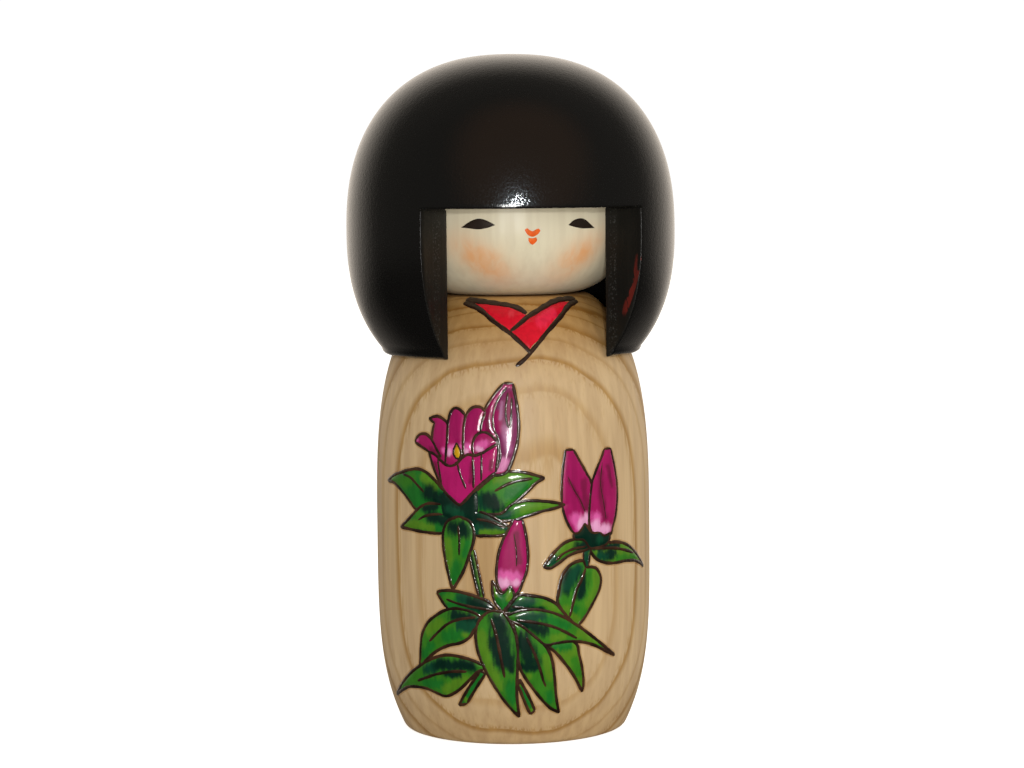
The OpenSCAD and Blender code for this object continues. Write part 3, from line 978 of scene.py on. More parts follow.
SHAPES = [
    shape("stem_main", "stem", [[(-14.6, 43), (-13.6, 38), (-12.4, 33)], [(-11.4, 33.2)],
        [(-12.2, 37.5), (-13.4, 43.5)], []], MOSS, [(PINE, 0.8, [(-14.3, 42), (-12.6, 34)])], 0.7),
    shape("stem_left", "stem", [[(-18.4, 9), (-15.6, 13), (-12.6, 17)], [(-11.4, 16.6)],
        [(-13.8, 13.2), (-16.3, 9.6)], []], EMERALD, [(MOSS, 0.8, [(-16.5, 10.5)])], 0.85),
    shape("stem_right", "stem", [[(-4.2, 14), (-2.9, 10.6), (-1.4, 7.3)], [(-0.4, 8.2)],
        [(-2, 11.6), (-4, 15.4)], []], MOSS, [(EMERALD, 0.8, [(-3.4, 13), (-1.6, 9.4)])]),
    shape("stem_buds", "stem", [[(10.5, 43.5), (10.4, 39.8)], [(11.6, 38.8)], [(12.3, 43.5)], []], JADE,
        [(MOSS, 0.5, [(11.9, 42)])], 0.6),
    shape("ovate_leaf", "leaf",
        [[(10.9, 39), (10.4, 40.4), (8.8, 40.4), (6.8, 39.4), (5.3, 37.2), (4.6, 34), (4.4, 32),
         (5.6, 29.8), (7.6, 27.6), (9, 26.3)],
        [(11, 28.6), (13, 31.5), (14.4, 33.8), (14.9, 36.2), (13.9, 38.3), (12.6, 38.9)]], GRASS,
        [(MOSS, 1.6, [(13.8, 37.3), (13.6, 34.6), (11.6, 31)]), (MOSS, 1.4, [(8.9, 27.3), (6.2, 30.2)]),
        (PINE, 1.6, [(6.8, 38.2), (6.3, 34.6)]), (JADE, 1.4, [(9, 39), (6.3, 35)]),
        (PINE, 1.5, [(10.2, 37), (9.4, 33.2)]), (EMERALD, 1.1, [(8.3, 30.2)])]),
    shape("twin_leaf_left", "leaf",
        [[(12.8, 43.2), (10.4, 45), (8, 45.2), (5.8, 44.5), (3.9, 42.9), (2.4, 41.2), (1.3, 39.7)],
        [(2.8, 39.4), (4.6, 40.4), (6.6, 41.7), (8.7, 42.5), (10.6, 42.7)]], GRASS,
        [(MOSS, 1.2, [(7.5, 44.4), (4.5, 42.6)]), (JADE, 1.2, [(2.5, 40.4), (3.6, 41.2)]),
        (PINE, 1.5, [(12, 43.8), (9.3, 43.6)])]),
    shape("twin_leaf_right", "leaf",
        [[(12, 43), (15, 43.6), (18.2, 43.8), (21.2, 43.4), (24.3, 42.2), (27.2, 40.3), (29.5, 38.5),
         (31.4, 36.9)],
        [(29.2, 38), (26.4, 38.9), (22.5, 39.3), (18.2, 39.3), (15.2, 39.9), (13.2, 41.1)]], MOSS,
        [(GRASS, 1.1, [(19.5, 40.2), (26, 39.6)]), (PINE, 1.5, [(16.4, 41.2), (18.4, 41.4)]),
        (JADE, 1.3, [(14.2, 41.4), (15.6, 40.8)]), (PINE, 0.9, [(13, 43), (20, 43.1)])]),
    shape("bud_left", "bud",
        [[(11.9, 46.8), (10.2, 45.9), (8.3, 46.6), (6.9, 48.6), (5.9, 51.2), (5.5, 54.2), (5.6, 58),
         (6, 61.5), (6.6, 64.6)], [(8.4, 64.6)],
        [(10, 61.8), (11.4, 59.4), (12.6, 57.1), (12.3, 54), (11.9, 50.5)]], MAGENTA,
        [(WINE, 1, [(10.6, 57.5), (11.4, 52)]), (WINE, 0.5, [(7.2, 58), (9.2, 54.4), (10.8, 51.2)]),
        (PINK, 1.5, [(8.5, 49.9), (9.4, 48.2)]), (BLOSSOM, 1.3, [(11.2, 49.7), (9.8, 48.4)])], 0.75),
    shape("bud_right", "bud",
        [[(13.2, 46), (12.2, 47.4), (11.9, 50.2), (12.3, 54), (12.8, 57.2), (14, 59.8), (15.4, 62.2),
         (16.5, 64.2)], [(18.4, 64.2)],
        [(19.2, 60.8), (19.9, 57), (20, 53.6), (19.5, 50), (18.5, 47.3), (17.4, 45.2)]], MAGENTA,
        [(WINE, 1, [(14.9, 59), (15, 54), (16, 49.5)]), (WINE, 0.6, [(17, 60.5), (18.2, 56)]),
        (PINK, 1.6, [(13.6, 49.4), (13.4, 48)]), (BLOSSOM, 1.5, [(13.4, 48), (13.9, 47)]),
        (BLOSSOM, 1.4, [(15.4, 46.9), (16.6, 46.9)])], 0.75),
    shape("twin_calyx", "leaf", [[(8, 46.5), (9.3, 46.7), (10, 47.4), (10.8, 48.6)],
        [(11.6, 47.6), (12.8, 46.4), (14.8, 46.3)], [(16, 45.5), (17.7, 46)],
        [(17.4, 44.4), (16.4, 43.5), (13.4, 43), (12, 43.2), (10.6, 44.9), (8.4, 45.3)]], PINE,
        [(JADE, 1.1, [(14.5, 44.8)])], 0.7),
    shape("upper_leaf_back", "leaf",
        [[(-19, 53.6), (-20.8, 56.4), (-22.8, 58.3), (-25, 59.7), (-27.3, 60.2), (-30, 59.8),
         (-33, 59), (-35.6, 58.2), (-38.6, 56.8)],
        [(-36, 56.7), (-34, 56), (-31.5, 54.5), (-29.5, 52.9), (-27.8, 51.5), (-24, 50.6)]], EMERALD,
        [(GRASS, 1.7, [(-36, 57.3), (-31, 57.2), (-28.5, 58.6)]),
        (MOSS, 1.4, [(-25, 58.6), (-22.6, 56.6)]), (PINE, 2.2, [(-24, 55.4), (-21, 53.6)])]),
    shape("upper_leaf_low", "leaf",
        [[(-18.6, 52.2), (-21, 52.9), (-24, 53), (-26, 52.3), (-27.5, 51.3), (-29, 50), (-31, 48.4),
         (-33, 47.1)], [(-30, 47), (-25, 46.7), (-20.5, 46.8), (-18, 48)]], EMERALD,
        [(MOSS, 1.5, [(-30.5, 47.9), (-26, 48.4), (-23.5, 47.6)]),
        (GRASS, 1.3, [(-27, 50.4), (-24.6, 49.6)]), (PINE, 1.6, [(-23.6, 50.2), (-19, 49.4)]),
        (PINE, 0.9, [(-25.4, 51.8), (-22, 52.4)])]),
    shape("right_leaf_thin", "leaf",
        [[(-11, 50.6), (-8, 52.2), (-5.3, 53.4), (-2, 54), (1.5, 53.8), (4, 53.4), (6.2, 52.9)],
        [(4, 52.3), (1, 51.7), (-2, 50.8), (-5, 50), (-7.4, 49.8)]], GRASS,
        [(MOSS, 1.2, [(-3, 52.5), (3, 52.9)]), (JADE, 1.5, [(-8, 50.8), (-6, 51.2)])]),
    shape("right_leaf_high", "leaf",
        [[(-17, 52.4), (-13.6, 55.2), (-11, 57.8), (-8.4, 59.7), (-5.4, 60.3), (-2.2, 60), (1.8, 58.8)],
        [(0, 57.9), (-2, 56), (-4, 54.2), (-5.8, 52.9), (-7.6, 51.4), (-11, 51.3)]], GRASS,
        [(MOSS, 1.2, [(-8.6, 58.8), (-2, 59.4)]), (EMERALD, 1.5, [(-6, 55.4), (-2.4, 57)]),
        (JADE, 2.2, [(-12.5, 54.4), (-9, 53)]), (PINE, 1.9, [(-10.4, 54.6), (-8.6, 53)]),
        (PINE, 2, [(-15.5, 53)])]),
    shape("right_leaf_low", "leaf",
        [[(-15.5, 50), (-12.8, 51.6), (-10.4, 51.2), (-8, 49.9), (-5.4, 48.2)],
        [(-6.6, 47), (-8.4, 46.6), (-11, 46.6), (-13.4, 46.8)]], JADE,
        [(MOSS, 0.9, [(-11.6, 47.2), (-7.4, 47.2)]), (PINE, 1.3, [(-13.5, 50), (-9.6, 49.4)])]),
    shape("middle_leaf", "leaf",
        [[(-20.5, 50.6), (-20.9, 53), (-20.5, 55.6), (-18, 56), (-15.4, 56), (-12.6, 56.6)],
        [(-12.4, 52.4), (-13.4, 49.8), (-16.5, 49.2)]], PINE, [(JADE, 1.3, [(-19, 52), (-16.5, 51)])],
        0),
    shape("drop_leaf", "leaf",
        [[(-16.8, 50.6), (-19.4, 49.4), (-20.4, 47.2), (-20.5, 44.8), (-20.1, 41.6), (-19.3, 38),
         (-18.4, 34.6)],
        [(-17.2, 36.4), (-15.8, 38.9), (-14.6, 42), (-13.6, 45), (-13.4, 47.6), (-14.4, 49.6)]], GRASS,
        [(MOSS, 1.2, [(-19.6, 45), (-18.6, 39)]), (EMERALD, 1.4, [(-17.8, 36.8), (-17.4, 40)]),
        (EMERALD, 0.8, [(-14.8, 45), (-15.4, 42.4)]), (PINE, 2.2, [(-17.6, 48.2), (-15.6, 47.6)])]),
    shape("petal_tall", "petal",
        [[(-10, 60), (-11.8, 66), (-11.9, 70), (-11.1, 73.3), (-9.3, 76.2), (-6.9, 79)], [(-4.8, 79)],
        [(-4, 74.8), (-3.6, 70.2), (-4, 66.2), (-5.1, 62.6), (-6.3, 60.2), (-8.4, 59.5)]], MAGENTA,
        [(WINE, 0.8, [(-10.6, 74), (-10.2, 69)])], 0.85),
    shape("petal_tall_face", "petal",
        [[(-6.2, 78.2), (-8.3, 75.3), (-9.2, 72), (-9, 69.5), (-8, 67.2), (-7.6, 63.5), (-8.6, 60.1)],
        [(-6.5, 60.7), (-5.3, 63), (-4.3, 66.4), (-3.9, 70.2), (-4.2, 74.6), (-4.9, 77.8)], []], LILAC,
        [(MAGENTA, 1.1, [(-8.4, 72.6), (-8, 69.4)]), (DUSK, 1, [(-6.6, 69.6), (-5.8, 65)]),
        (MAUVE, 0.4, [(-7.2, 75), (-7.6, 71.5)]),
        (ROSE, 1.3, [(-6.8, 62.4), (-8, 60.6)]), (WINE, 0.9, [(-5.6, 76.6), (-5.7, 71)])],
        0),
    shape("petal_back_left", "petal", [[(-21.4, 60.6), (-23, 65), (-23.4, 68), (-23, 70.4)],
        [(-24.6, 71.3)], [(-22.4, 71.8), (-20.7, 71.2), (-19.6, 70), (-19.3, 66), (-19.6, 60.8)], []],
        MAGENTA, [(PINK, 0.8, [(-20.2, 64.6)])], 0.85),
    shape("petal_back_middle", "petal",
        [[(-20, 60.4), (-19.6, 67), (-19.5, 70.6), (-18.9, 72.9), (-17.8, 73.7), (-16.5, 73.2),
         (-15.5, 72.2)], [(-15.6, 69), (-15.3, 61.4)], []], MAGENTA,
        [(PINK, 1.1, [(-19.2, 64.8), (-16.2, 65.4)]), (BLOSSOM, 0.9, [(-19, 64.2)])], 0.85),
    shape("petal_back_right", "petal",
        [[(-15.7, 61.4), (-15.8, 67), (-15.7, 70), (-15.2, 72.3), (-14.1, 73.7), (-12.8, 74.1),
         (-11.7, 73.8), (-10.9, 73)], [(-11.8, 70), (-12, 66.5), (-12.8, 62)], []], MAGENTA,
        [(PINK, 1, [(-15.6, 65.6), (-14.4, 65.4)]), (BLOSSOM, 0.7, [(-15, 64.6)])], 0.85),
    shape("petal_curled", "petal",
        [[(-21, 63.2), (-22.4, 65.2), (-23.6, 66.8), (-25, 67.8), (-26.6, 67.8), (-27.8, 67),
         (-28.3, 66)], [(-26.4, 65.2), (-24.6, 64.4), (-23, 63.4)]], MAGENTA,
        [(PINK, 0.5, [(-27.4, 66.5)]), (WINE, 0.7, [(-23.6, 64.8), (-22, 64)])], 0.85),
    shape("petal_folded", "petal",
        [[(-13.3, 63.6), (-13.7, 65.6), (-13.1, 67.7), (-11.7, 68.7), (-10.1, 68.4), (-8.9, 67.4),
         (-7.9, 66.2)], [(-10, 65)]], MAGENTA, [(PINK, 1, [(-12.2, 65.8), (-10.8, 66.4)]),
        (BLOSSOM, 0.7, [(-12.5, 65.2), (-11.8, 65)])], 0.85),
    shape("stamen", "stamen",
        [[(-17.3, 66.4), (-18, 64.6), (-17.7, 63.4), (-16.9, 62.9), (-16.3, 63.6), (-16.4, 64.8)]],
        OCHRE, [(AMBER, 0.4, [(-17.2, 65.6)])], 0.6),
    shape("petal_cup", "petal",
        [[(-24.2, 64.2), (-22.6, 63.6), (-21, 62.4), (-19.6, 61.5), (-18.3, 61.4), (-17.1, 62),
         (-15.9, 63.2), (-14.6, 63.9), (-13.2, 63.7), (-11.6, 64.2), (-10, 65.2), (-8, 66.4)],
        [(-8.1, 63.4), (-8.6, 60.2)],
        [(-10.4, 58.8), (-12.4, 57), (-14, 55.4), (-15.4, 53.9), (-16.6, 53.1), (-18.2, 54.2),
         (-19.8, 55.6), (-21.1, 57.4), (-22.6, 60.4)]], CERISE,
        [(WINE, 0.5, [(-22.6, 62), (-21.4, 59)]), (WINE, 0.6, [(-9.3, 62.6), (-9.6, 60.8)]),
        (WINE, 0.5, [(-13.9, 58), (-13.6, 62)])]),
    shape("low_leaf_first", "leaf",
        [[(-8, 29.4), (-10, 32), (-12.6, 33.2), (-15.6, 34), (-18.6, 34.4), (-21, 34.2), (-22.3, 33.8)],
        [(-20.9, 32), (-19.4, 30.4), (-15, 28.4)]], EMERALD,
        [(GRASS, 1.1, [(-20.2, 32.4), (-18.6, 33.4)]), (JADE, 1.6, [(-16, 33), (-13, 31)]),
        (PINE, 1.7, [(-13.6, 32.2), (-9, 30.4)])]),
    shape("low_leaf_second", "leaf",
        [[(-11.4, 28.6), (-14, 30), (-17.5, 30.6), (-20, 30.1), (-22.6, 28.7), (-25, 26.8),
         (-26.6, 24.2), (-27.3, 21.4), (-27.7, 18.8), (-28.3, 16.6)],
        [(-26, 18.6), (-23, 20.8), (-20, 22.3), (-17, 23.1), (-14.8, 24.4), (-13.4, 26.4)]], GRASS,
        [(MOSS, 1.7, [(-24.6, 25.6), (-21.8, 27)]), (EMERALD, 1.8, [(-20, 24.2), (-16, 25)]),
        (EMERALD, 1.2, [(-26, 19.8), (-24, 22)]), (MOSS, 1, [(-15.6, 25)]),
        (PINE, 1.8, [(-18, 29.2), (-13, 28)]), (JADE, 1.5, [(-16.6, 27), (-13.6, 26.6)])]),
    shape("low_leaf_long", "leaf",
        [[(-10.8, 17.8), (-14, 19.3), (-17, 20), (-20, 20.2), (-23, 19.5), (-26, 18.2), (-29, 16.5),
         (-32, 14.7), (-35, 12.7), (-38.5, 10.4), (-41.5, 8.6)],
        [(-37, 10.3), (-33.5, 11.6), (-30, 12.1), (-27, 12.1), (-24, 11.4), (-21.8, 10.9),
         (-19.8, 11.5), (-17.4, 13), (-15, 15.2), (-13, 17)]], GRASS,
        [(EMERALD, 1.5, [(-27, 13.4), (-22.4, 13.4)]), (MOSS, 1.5, [(-21, 12.4), (-16, 15.2)]),
        (JADE, 1.5, [(-26, 16.4), (-22, 18.2)]), (PINE, 1.7, [(-22.4, 18), (-14.6, 18)]),
        (PINE, 1.1, [(-20.6, 16), (-17.6, 16.2)])]),
    shape("low_leaf_thin", "leaf",
        [[(1, 23.4), (3.8, 21.2), (6, 18.7), (8, 16.2), (9.6, 13.8), (11, 11.6)],
        [(11, 14), (10.4, 17), (9.5, 20), (8.6, 22.6), (5, 24)]], MOSS,
        [(EMERALD, 1.3, [(4, 22.4), (6.8, 22.2)]), (GRASS, 1.2, [(8.4, 19), (9.6, 16)])]),
    shape("low_leaf_behind", "leaf",
        [[(-7, 30), (-5.4, 32.2), (-3.9, 33.7), (-1, 33.5), (1.6, 32.9), (3.8, 31.7), (5.4, 30),
         (7.4, 27.6)], [(4, 28), (-1, 29.4)]], GRASS, [(MOSS, 0.9, [(1.6, 31.8), (4.4, 30)]),
        (JADE, 1.5, [(-4.6, 31.6), (-1.6, 32.2)]), (PINE, 0.8, [(-6.4, 30.8), (1, 30.6)])]),
    shape("low_leaf_right", "leaf",
        [[(-7, 29.2), (-4, 30.3), (-1, 30.6), (2.4, 30), (5.5, 28.7), (9, 26.5), (12, 24.3),
         (15.4, 21.8), (19.6, 18.8)],
        [(16.4, 20.3), (13.4, 21.8), (10.4, 22.8), (7, 23.2), (4, 23), (1.8, 22.8), (-0.4, 24.2),
         (-2.6, 26)]], GRASS, [(MOSS, 1.4, [(9.6, 24.9), (13.4, 22.8)]),
        (MOSS, 1, [(3.4, 24.2), (5.4, 24.4)]), (EMERALD, 1.3, [(1.6, 28.6), (6.4, 26.6)]),
        (PINE, 1.8, [(-3.4, 28.4), (1, 26)]), (JADE, 1.2, [(-3, 29.2), (0.6, 29)])]),
    shape("low_leaf_front", "leaf",
        [[(-5.4, 28.2), (-4.5, 24.6), (-4.3, 21), (-3.9, 18.2), (-2.8, 15.9), (-0.9, 13.2),
         (1.2, 10.6), (3.2, 8.7), (5.6, 7.3)],
        [(4.9, 9.2), (4.3, 12), (3.8, 15.8), (3.2, 19.2), (2.3, 21.6), (1.2, 23), (-1.2, 25.2),
         (-3.2, 26.9)]], GRASS, [(MOSS, 1.1, [(1.9, 20), (2.6, 15.6)]),
        (EMERALD, 1.1, [(2.9, 12), (3.2, 10.4)]), (PINE, 2.3, [(-3.2, 24), (-1.4, 19.2)]),
        (PINE, 1.2, [(-3.2, 18.2), (-0.6, 18)]), (MOSS, 0.8, [(-1.8, 16)])]),
    shape("low_leaf_middle", "leaf",
        [[(-7.4, 30.2), (-10, 30.3), (-11.9, 28.9), (-13, 27), (-13.3, 24.4), (-12.9, 21.5),
         (-12, 18.8), (-10.7, 16), (-8.8, 12.7), (-6.8, 9.8), (-4, 6.7)],
        [(-4.4, 9.4), (-4.6, 12.6), (-4.5, 16), (-4.3, 19.4), (-4.3, 22.4), (-4.8, 25.4), (-6, 28.2)]],
        GRASS, [(MOSS, 1.5, [(-12, 25), (-10.8, 19), (-8.6, 14)]),
        (EMERALD, 1.6, [(-5.8, 14), (-5.4, 11)]), (PINE, 2.6, [(-8.4, 28), (-7, 19.6)]),
        (PINE, 1.3, [(-9.4, 24), (-8.6, 19.2)]), (PINE, 1, [(-5.8, 20), (-5.8, 17.6)])]),
    shape("bud_single", "bud",
        [[(-7.2, 34), (-8.4, 36), (-8.6, 39), (-8.2, 42.4), (-7.2, 45.6), (-6, 48), (-4.9, 50.1)],
        [(-3.1, 50)], [(-2.4, 46.8), (-2, 43), (-2.2, 39.4), (-3.2, 36.4), (-4.6, 33.8)]], MAGENTA,
        [(WINE, 0.8, [(-4.4, 47), (-3.9, 41)]), (PINK, 1.5, [(-7.6, 38), (-4.2, 37.6)]),
        (BLOSSOM, 1.3, [(-7.7, 36.3), (-6.6, 36.4)]), (BLOSSOM, 1, [(-4.6, 36.4)])], 0.8),
    shape("single_calyx", "leaf", [[(-9.6, 37), (-9.5, 34.4), (-9, 32.2), (-7.5, 30.2)],
        [(-6.2, 31.6), (-5, 33.4), (-5.2, 34.8), (-5.8, 35.8)], [(-6.6, 34.8), (-7.5, 34)],
        [(-8.3, 34.4), (-8.8, 35.6)]], EMERALD, [(MOSS, 0.8, [(-9.1, 35.6), (-8.8, 34)]),
        (MOSS, 0.8, [(-6, 34.2), (-6, 33)]), (JADE, 0.7, [(-7.8, 34)])], 0.75),
    shape("collar_left", "collar", [[(-18, 95.9), (-10, 95.6), (-5, 95), (-0.4, 93.4)],
        [(-2.8, 91.8), (-5.6, 89.7)], [(-8, 90.9), (-12, 93), (-15, 94.4)]], CRIMSON,
        [(SCARLET, 1, [(-5, 93.4)])], 0),
    shape("collar_right", "collar",
        [[(-4.4, 90.1), (-1, 92), (3, 93.5), (8, 95), (13, 95.7), (17, 95.7)],
        [(12, 94), (7, 91.6), (3.5, 89.1), (0.1, 86.7)], [(-0.6, 86.2), (-2.8, 87.9), (-5, 89.7)]],
        CRIMSON, [(POPPY, 1.6, [(3, 91.6), (8, 93.6)])], 0),
]
print(len(SHAPES), "painted shapes")

# %% [markdown]
# The shapes overlap like paper cut-outs, but real enamel doesn't: each colour stops where the
# one in front begins. So all outlines go into one triangulation of the flat drawing, together
# with an even field of points. Every triangle then belongs to the frontmost shape over it, and
# neighbours share their edge points, so the coats meet with no gap and no overlap.

# %% Triangulate the drawing
FIELD_GAP = 0.34
ROW_SHARE = 0.866
SHAKE = 0.12
EDGE_CLEAR = 0.45
FIELD_SEED = 7


def outline(entry):
    points = []
    for side in entry["sides"]:
        points += smooth_line(side)[:-1]
    area = sum(a.x * b.y - b.x * a.y for a, b in zip(points, points[1:] + points[:1]))
    return points if area > 0 else points[::-1]


def inside(points, loop):
    """Which of the points (an array) lie inside a closed outline."""
    found = np.zeros(len(points), bool)
    x, y = points[:, 0], points[:, 1]
    for a, b in zip(loop, loop[1:] + loop[:1]):
        if a.y == b.y:
            continue
        crosses = (y < a.y) != (y < b.y)
        at = a.x + (y - a.y) * (b.x - a.x) / (b.y - a.y)
        found ^= crosses & (x < at)
    return found


def finder(spots):
    """A tree that finds the nearest of some flat points."""
    tree = KDTree(len(spots))
    for i, p in enumerate(spots):
        tree.insert((p[0], p[1], 0), i)
    tree.balance()
    return tree


def field_points(loops, gap):
    """An even, slightly shaken field of points inside the outlines, clear of their edges."""
    draw = np.random.default_rng(FIELD_SEED)
    everything = np.array([p for loop in loops for p in loop])
    low, high = everything.min(0), everything.max(0)
    rows = []
    for k, y in enumerate(np.arange(low[1], high[1], gap * ROW_SHARE)):
        xs = np.arange(low[0] + (k % 2) * gap / 2, high[0], gap)
        rows.append(np.column_stack([xs, np.full(len(xs), y)]))
    field = np.concatenate(rows)
    field += draw.uniform(-SHAKE, SHAKE, field.shape) * gap
    kept = np.zeros(len(field), bool)
    for loop in loops:
        kept |= inside(field, loop)
    field = field[kept]
    near = finder(everything)
    clear = [near.find((p[0], p[1], 0))[2] > gap * EDGE_CLEAR for p in field]
    return field[np.array(clear)]


def border_distances(flat, triangles, owners):
    """Distance of every point from the nearest edge between two shapes."""
    sides = {}
    for tri, own in zip(triangles, owners):
        for a, b in zip(tri, tri[1:] + tri[:1]):
            sides.setdefault((min(a, b), max(a, b)), []).append(own)
    spots = []
    for (a, b), own in sides.items():
        if len(own) == 1 or own[0] != own[1]:
            spots += [flat[a], flat[b], (flat[a] + flat[b]) / 2]
    near = finder(spots)
    return [near.find((p.x, p.y, 0))[2] for p in flat]


def cut_out(entries, gap=FIELD_GAP):
    """Triangulates a drawing: its flat points, their border distances, the triangles, the
    front shape of each triangle, and the outlines."""
    loops = [outline(entry) for entry in entries]
    points, faces = [], []
    for loop in loops:
        faces.append(list(range(len(points), len(points) + len(loop))))
        points += [Vector(p) for p in loop]
    points += [Vector(p) for p in field_points(loops, gap)]
    flat, _, triangles, _, _, owners = delaunay_2d_cdt(points, [], faces, 0, 1e-5, True)
    kept = [(tri, max(own)) for tri, own in zip(triangles, owners) if own]
    triangles, fronts = [k[0] for k in kept], [k[1] for k in kept]
    return {"entries": entries, "flat": flat, "triangles": triangles, "fronts": fronts,
            "loops": loops, "borders": border_distances(flat, triangles, fronts)}


front_drawing = cut_out(SHAPES)
print(len(front_drawing["triangles"]), "triangles in the drawing")

# %% [markdown]
# Enamel flows up to a burnt line and rounds off there, so each shape becomes a low cushion. Its
# height depends on the distance to the nearest border. The washes need a distance too: a point
# near a stroke takes its colour, more strongly near the stroke's middle, and a noise drawn out
# along the grain makes the stroke's ends ragged, as a brush does.

# %% Cushion heights and washes
BORDER_LIFT = 0.06
CUSHION, CUSHION_START, CUSHION_WIDTH = 0.24, 0.3, 1.1
SUNK = -0.12
BRUSH_ACROSS, BRUSH_ALONG = 1.5, 0.28
RAGGED_DARK, RAGGED_LIGHT, DARK_BELOW = 0.5, 0.42, 0.4
WASH_FULL, WASH_FADE = 0.35, 0.9
UNDERSIDE = (0.1, 0.05, 0.03, 1)


def cushion_lift(distance):
    t = min(max((distance - CUSHION_START) / CUSHION_WIDTH, 0), 1)
    return BORDER_LIFT + CUSHION * math.sqrt(1 - (1 - t) ** 2)


def stroke_distance(p, path):
    spots = [Vector(q) for q in path]
    best = (p - spots[0]).length
    for a, b in zip(spots, spots[1:]):
        along = b - a
        t = min(max((p - a).dot(along) / along.length_squared, 0), 1)
        best = min(best, (p - a - along * t).length)
    return best


def painted(p, entry):
    colour = np.array(entry["ground"])
    ragged = fractal(Vector((p.x * BRUSH_ACROSS, p.y * BRUSH_ALONG, 3)), 0.6, 2, 2)
    for wash, radius, path in entry["washes"]:
        rough = RAGGED_DARK if sum(wash) < DARK_BELOW else RAGGED_LIGHT
        d = stroke_distance(p, path) / radius + ragged * rough
        weight = 1 - min(max((d - WASH_FULL) / WASH_FADE, 0), 1)
        weight = weight * weight * (3 - 2 * weight)
        if weight > 0.01:
            colour = colour * (1 - weight) + np.array(wash) * weight
    return colour


def coat(name, kind, drawing, finish, radius_at, drum, thin=1.0):
    """One closed, cushioned mesh of all the shapes of a kind, laid on a turned surface."""
    flat, entries = drawing["flat"], drawing["entries"]
    mine = [(tri, entries[front]) for tri, front in zip(drawing["triangles"], drawing["fronts"])
            if entries[front]["kind"] == kind]
    used = sorted({i for tri, _ in mine for i in tri})
    place = {i: k for k, i in enumerate(used)}
    count = len(used)
    top, bottom = [], []
    for i in used:
        s, z = flat[i]
        lift = cushion_lift(drawing["borders"][i]) * thin
        top.append(laid(s, z, lift, radius_at, drum))
        bottom.append(laid(s, z, SUNK, radius_at, drum))
    faces = [tuple(place[i] for i in tri) for tri, _ in mine]
    edges = {edge: True for a, b, c in faces for edge in ((a, b), (b, c), (c, a))}
    rim = [(a, b) for a, b in edges if (b, a) not in edges]
    under = [(c + count, b + count, a + count) for a, b, c in faces]
    walls = [(b, a, a + count, b + count) for a, b in rim]
    mesh = bpy.data.meshes.new(name)
    mesh.from_pydata(top + bottom, [], faces + under + walls)
    tone = mesh.attributes.new("paint", "FLOAT_COLOR", "CORNER")
    colours = [(*painted(flat[i], entry), 1) for tri, entry in mine for i in tri]
    colours += [UNDERSIDE] * (len(under) * 3 + len(walls) * 4)
    tone.data.foreach_set("color", np.array(colours, np.float32).ravel())
    smooth = [True] * len(faces) + [False] * (len(under) + len(walls))
    mesh.polygons.foreach_set("use_smooth", smooth)
    mesh.materials.append(finish)
    print(name, "has", len(mesh.polygons), "faces")
    return link(name, mesh)


# %% [markdown]
# The enamel finish takes its colour from the stored washes. Streaked noise lets the brush show,
# and a clear coat over a fairly smooth base gives the wet look. One function serves all the
# enamels, because they differ only in their colour, which the washes already hold, in how far
# the brush streaks are drawn out, and in how wet they look.

# %% Enamel finish
STREAK, STREAK_SHADE = 0.3, (0.4, 0.4, 0.4)
POOL, POOL_LIGHT = 0.2, (1.0, 1.0, 0.9)
WET, COLLAR_WET, FACE_WET = 0.6, 0.25, 0.15


def enamel_finish(name, stretch=(1, 1, 0.25), wet=WET):
    finish, tree, shader = new_finish(name, Coat_Weight=wet, Coat_Roughness=0.08, Coat_IOR=1.5,
                                      Specular_IOR_Level=0.15)
    place = object_place(tree)
    wash = add(tree, "ShaderNodeVertexColor", layer_name="paint").outputs["Color"]
    hairs = noise(tree, place, 700, 3, stretch, 0.4)
    pools = noise(tree, place, 160, 3)
    streaks = step(tree, hairs, 0.35, 0.75, 0.0, STREAK)
    colour = mixed(tree, streaks, wash, STREAK_SHADE, "MULTIPLY")
    pooled = step(tree, pools, 0.35, 0.75, 0.0, POOL)
    colour = mixed(tree, pooled, colour, POOL_LIGHT, "SOFT_LIGHT")
    dress(tree, shader, colour, step(tree, pools, 0.3, 0.7, 0.3, 0.42))
    swell = plus(tree, pools, times(tree, hairs, 0.3))
    grain = times(tree, noise(tree, place, 1500, 2), 0.5)
    relief(tree, shader, plus(tree, swell, grain), 0.00006, 0.5)
    return finish


# %% Coats of enamel on the body
COATS = [
    ("leaf", "leaf_coat", "leaf_enamel", "leaf_enamel", 0.25),
    ("petal", "blossom_coat", "blossom_enamel", "petal_enamel", 0.15),
    ("bud", "bud_coat", "bud_enamel", "petal_enamel", 0.12),
    ("stamen", "stamen_coat", "stamen_enamel", "stamen_enamel", 1),
    ("stem", "stem_coat", "stem_enamel", "stem_enamel", 0.2),
    ("collar", "collar_coat", "collar_enamel", "collar_enamel", 1),
]
for kind, name, node, slot, grain in COATS:
    wet = COLLAR_WET if kind == "collar" else WET
    finish = enamel_finish(slot + "_" + kind, (1, 1, grain), wet)
    piece = coat(name, kind, front_drawing, finish, body_radius, DRUM)
    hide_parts(node)
    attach(piece, "body")

# %% [markdown]
# ## Burnt lines
# The outlines are burnt into the wood with a hot point, and the clear lacquer stands in a bead
# along them. Each line follows a path on the body, so Geometry Nodes make it: the path becomes
# a curve, a flattened round profile is carried along it, and the stored width makes it swell
# and taper as a hand-drawn line does. The profile's flat side follows the body, because every
# point of the path also stores the surface normal there.

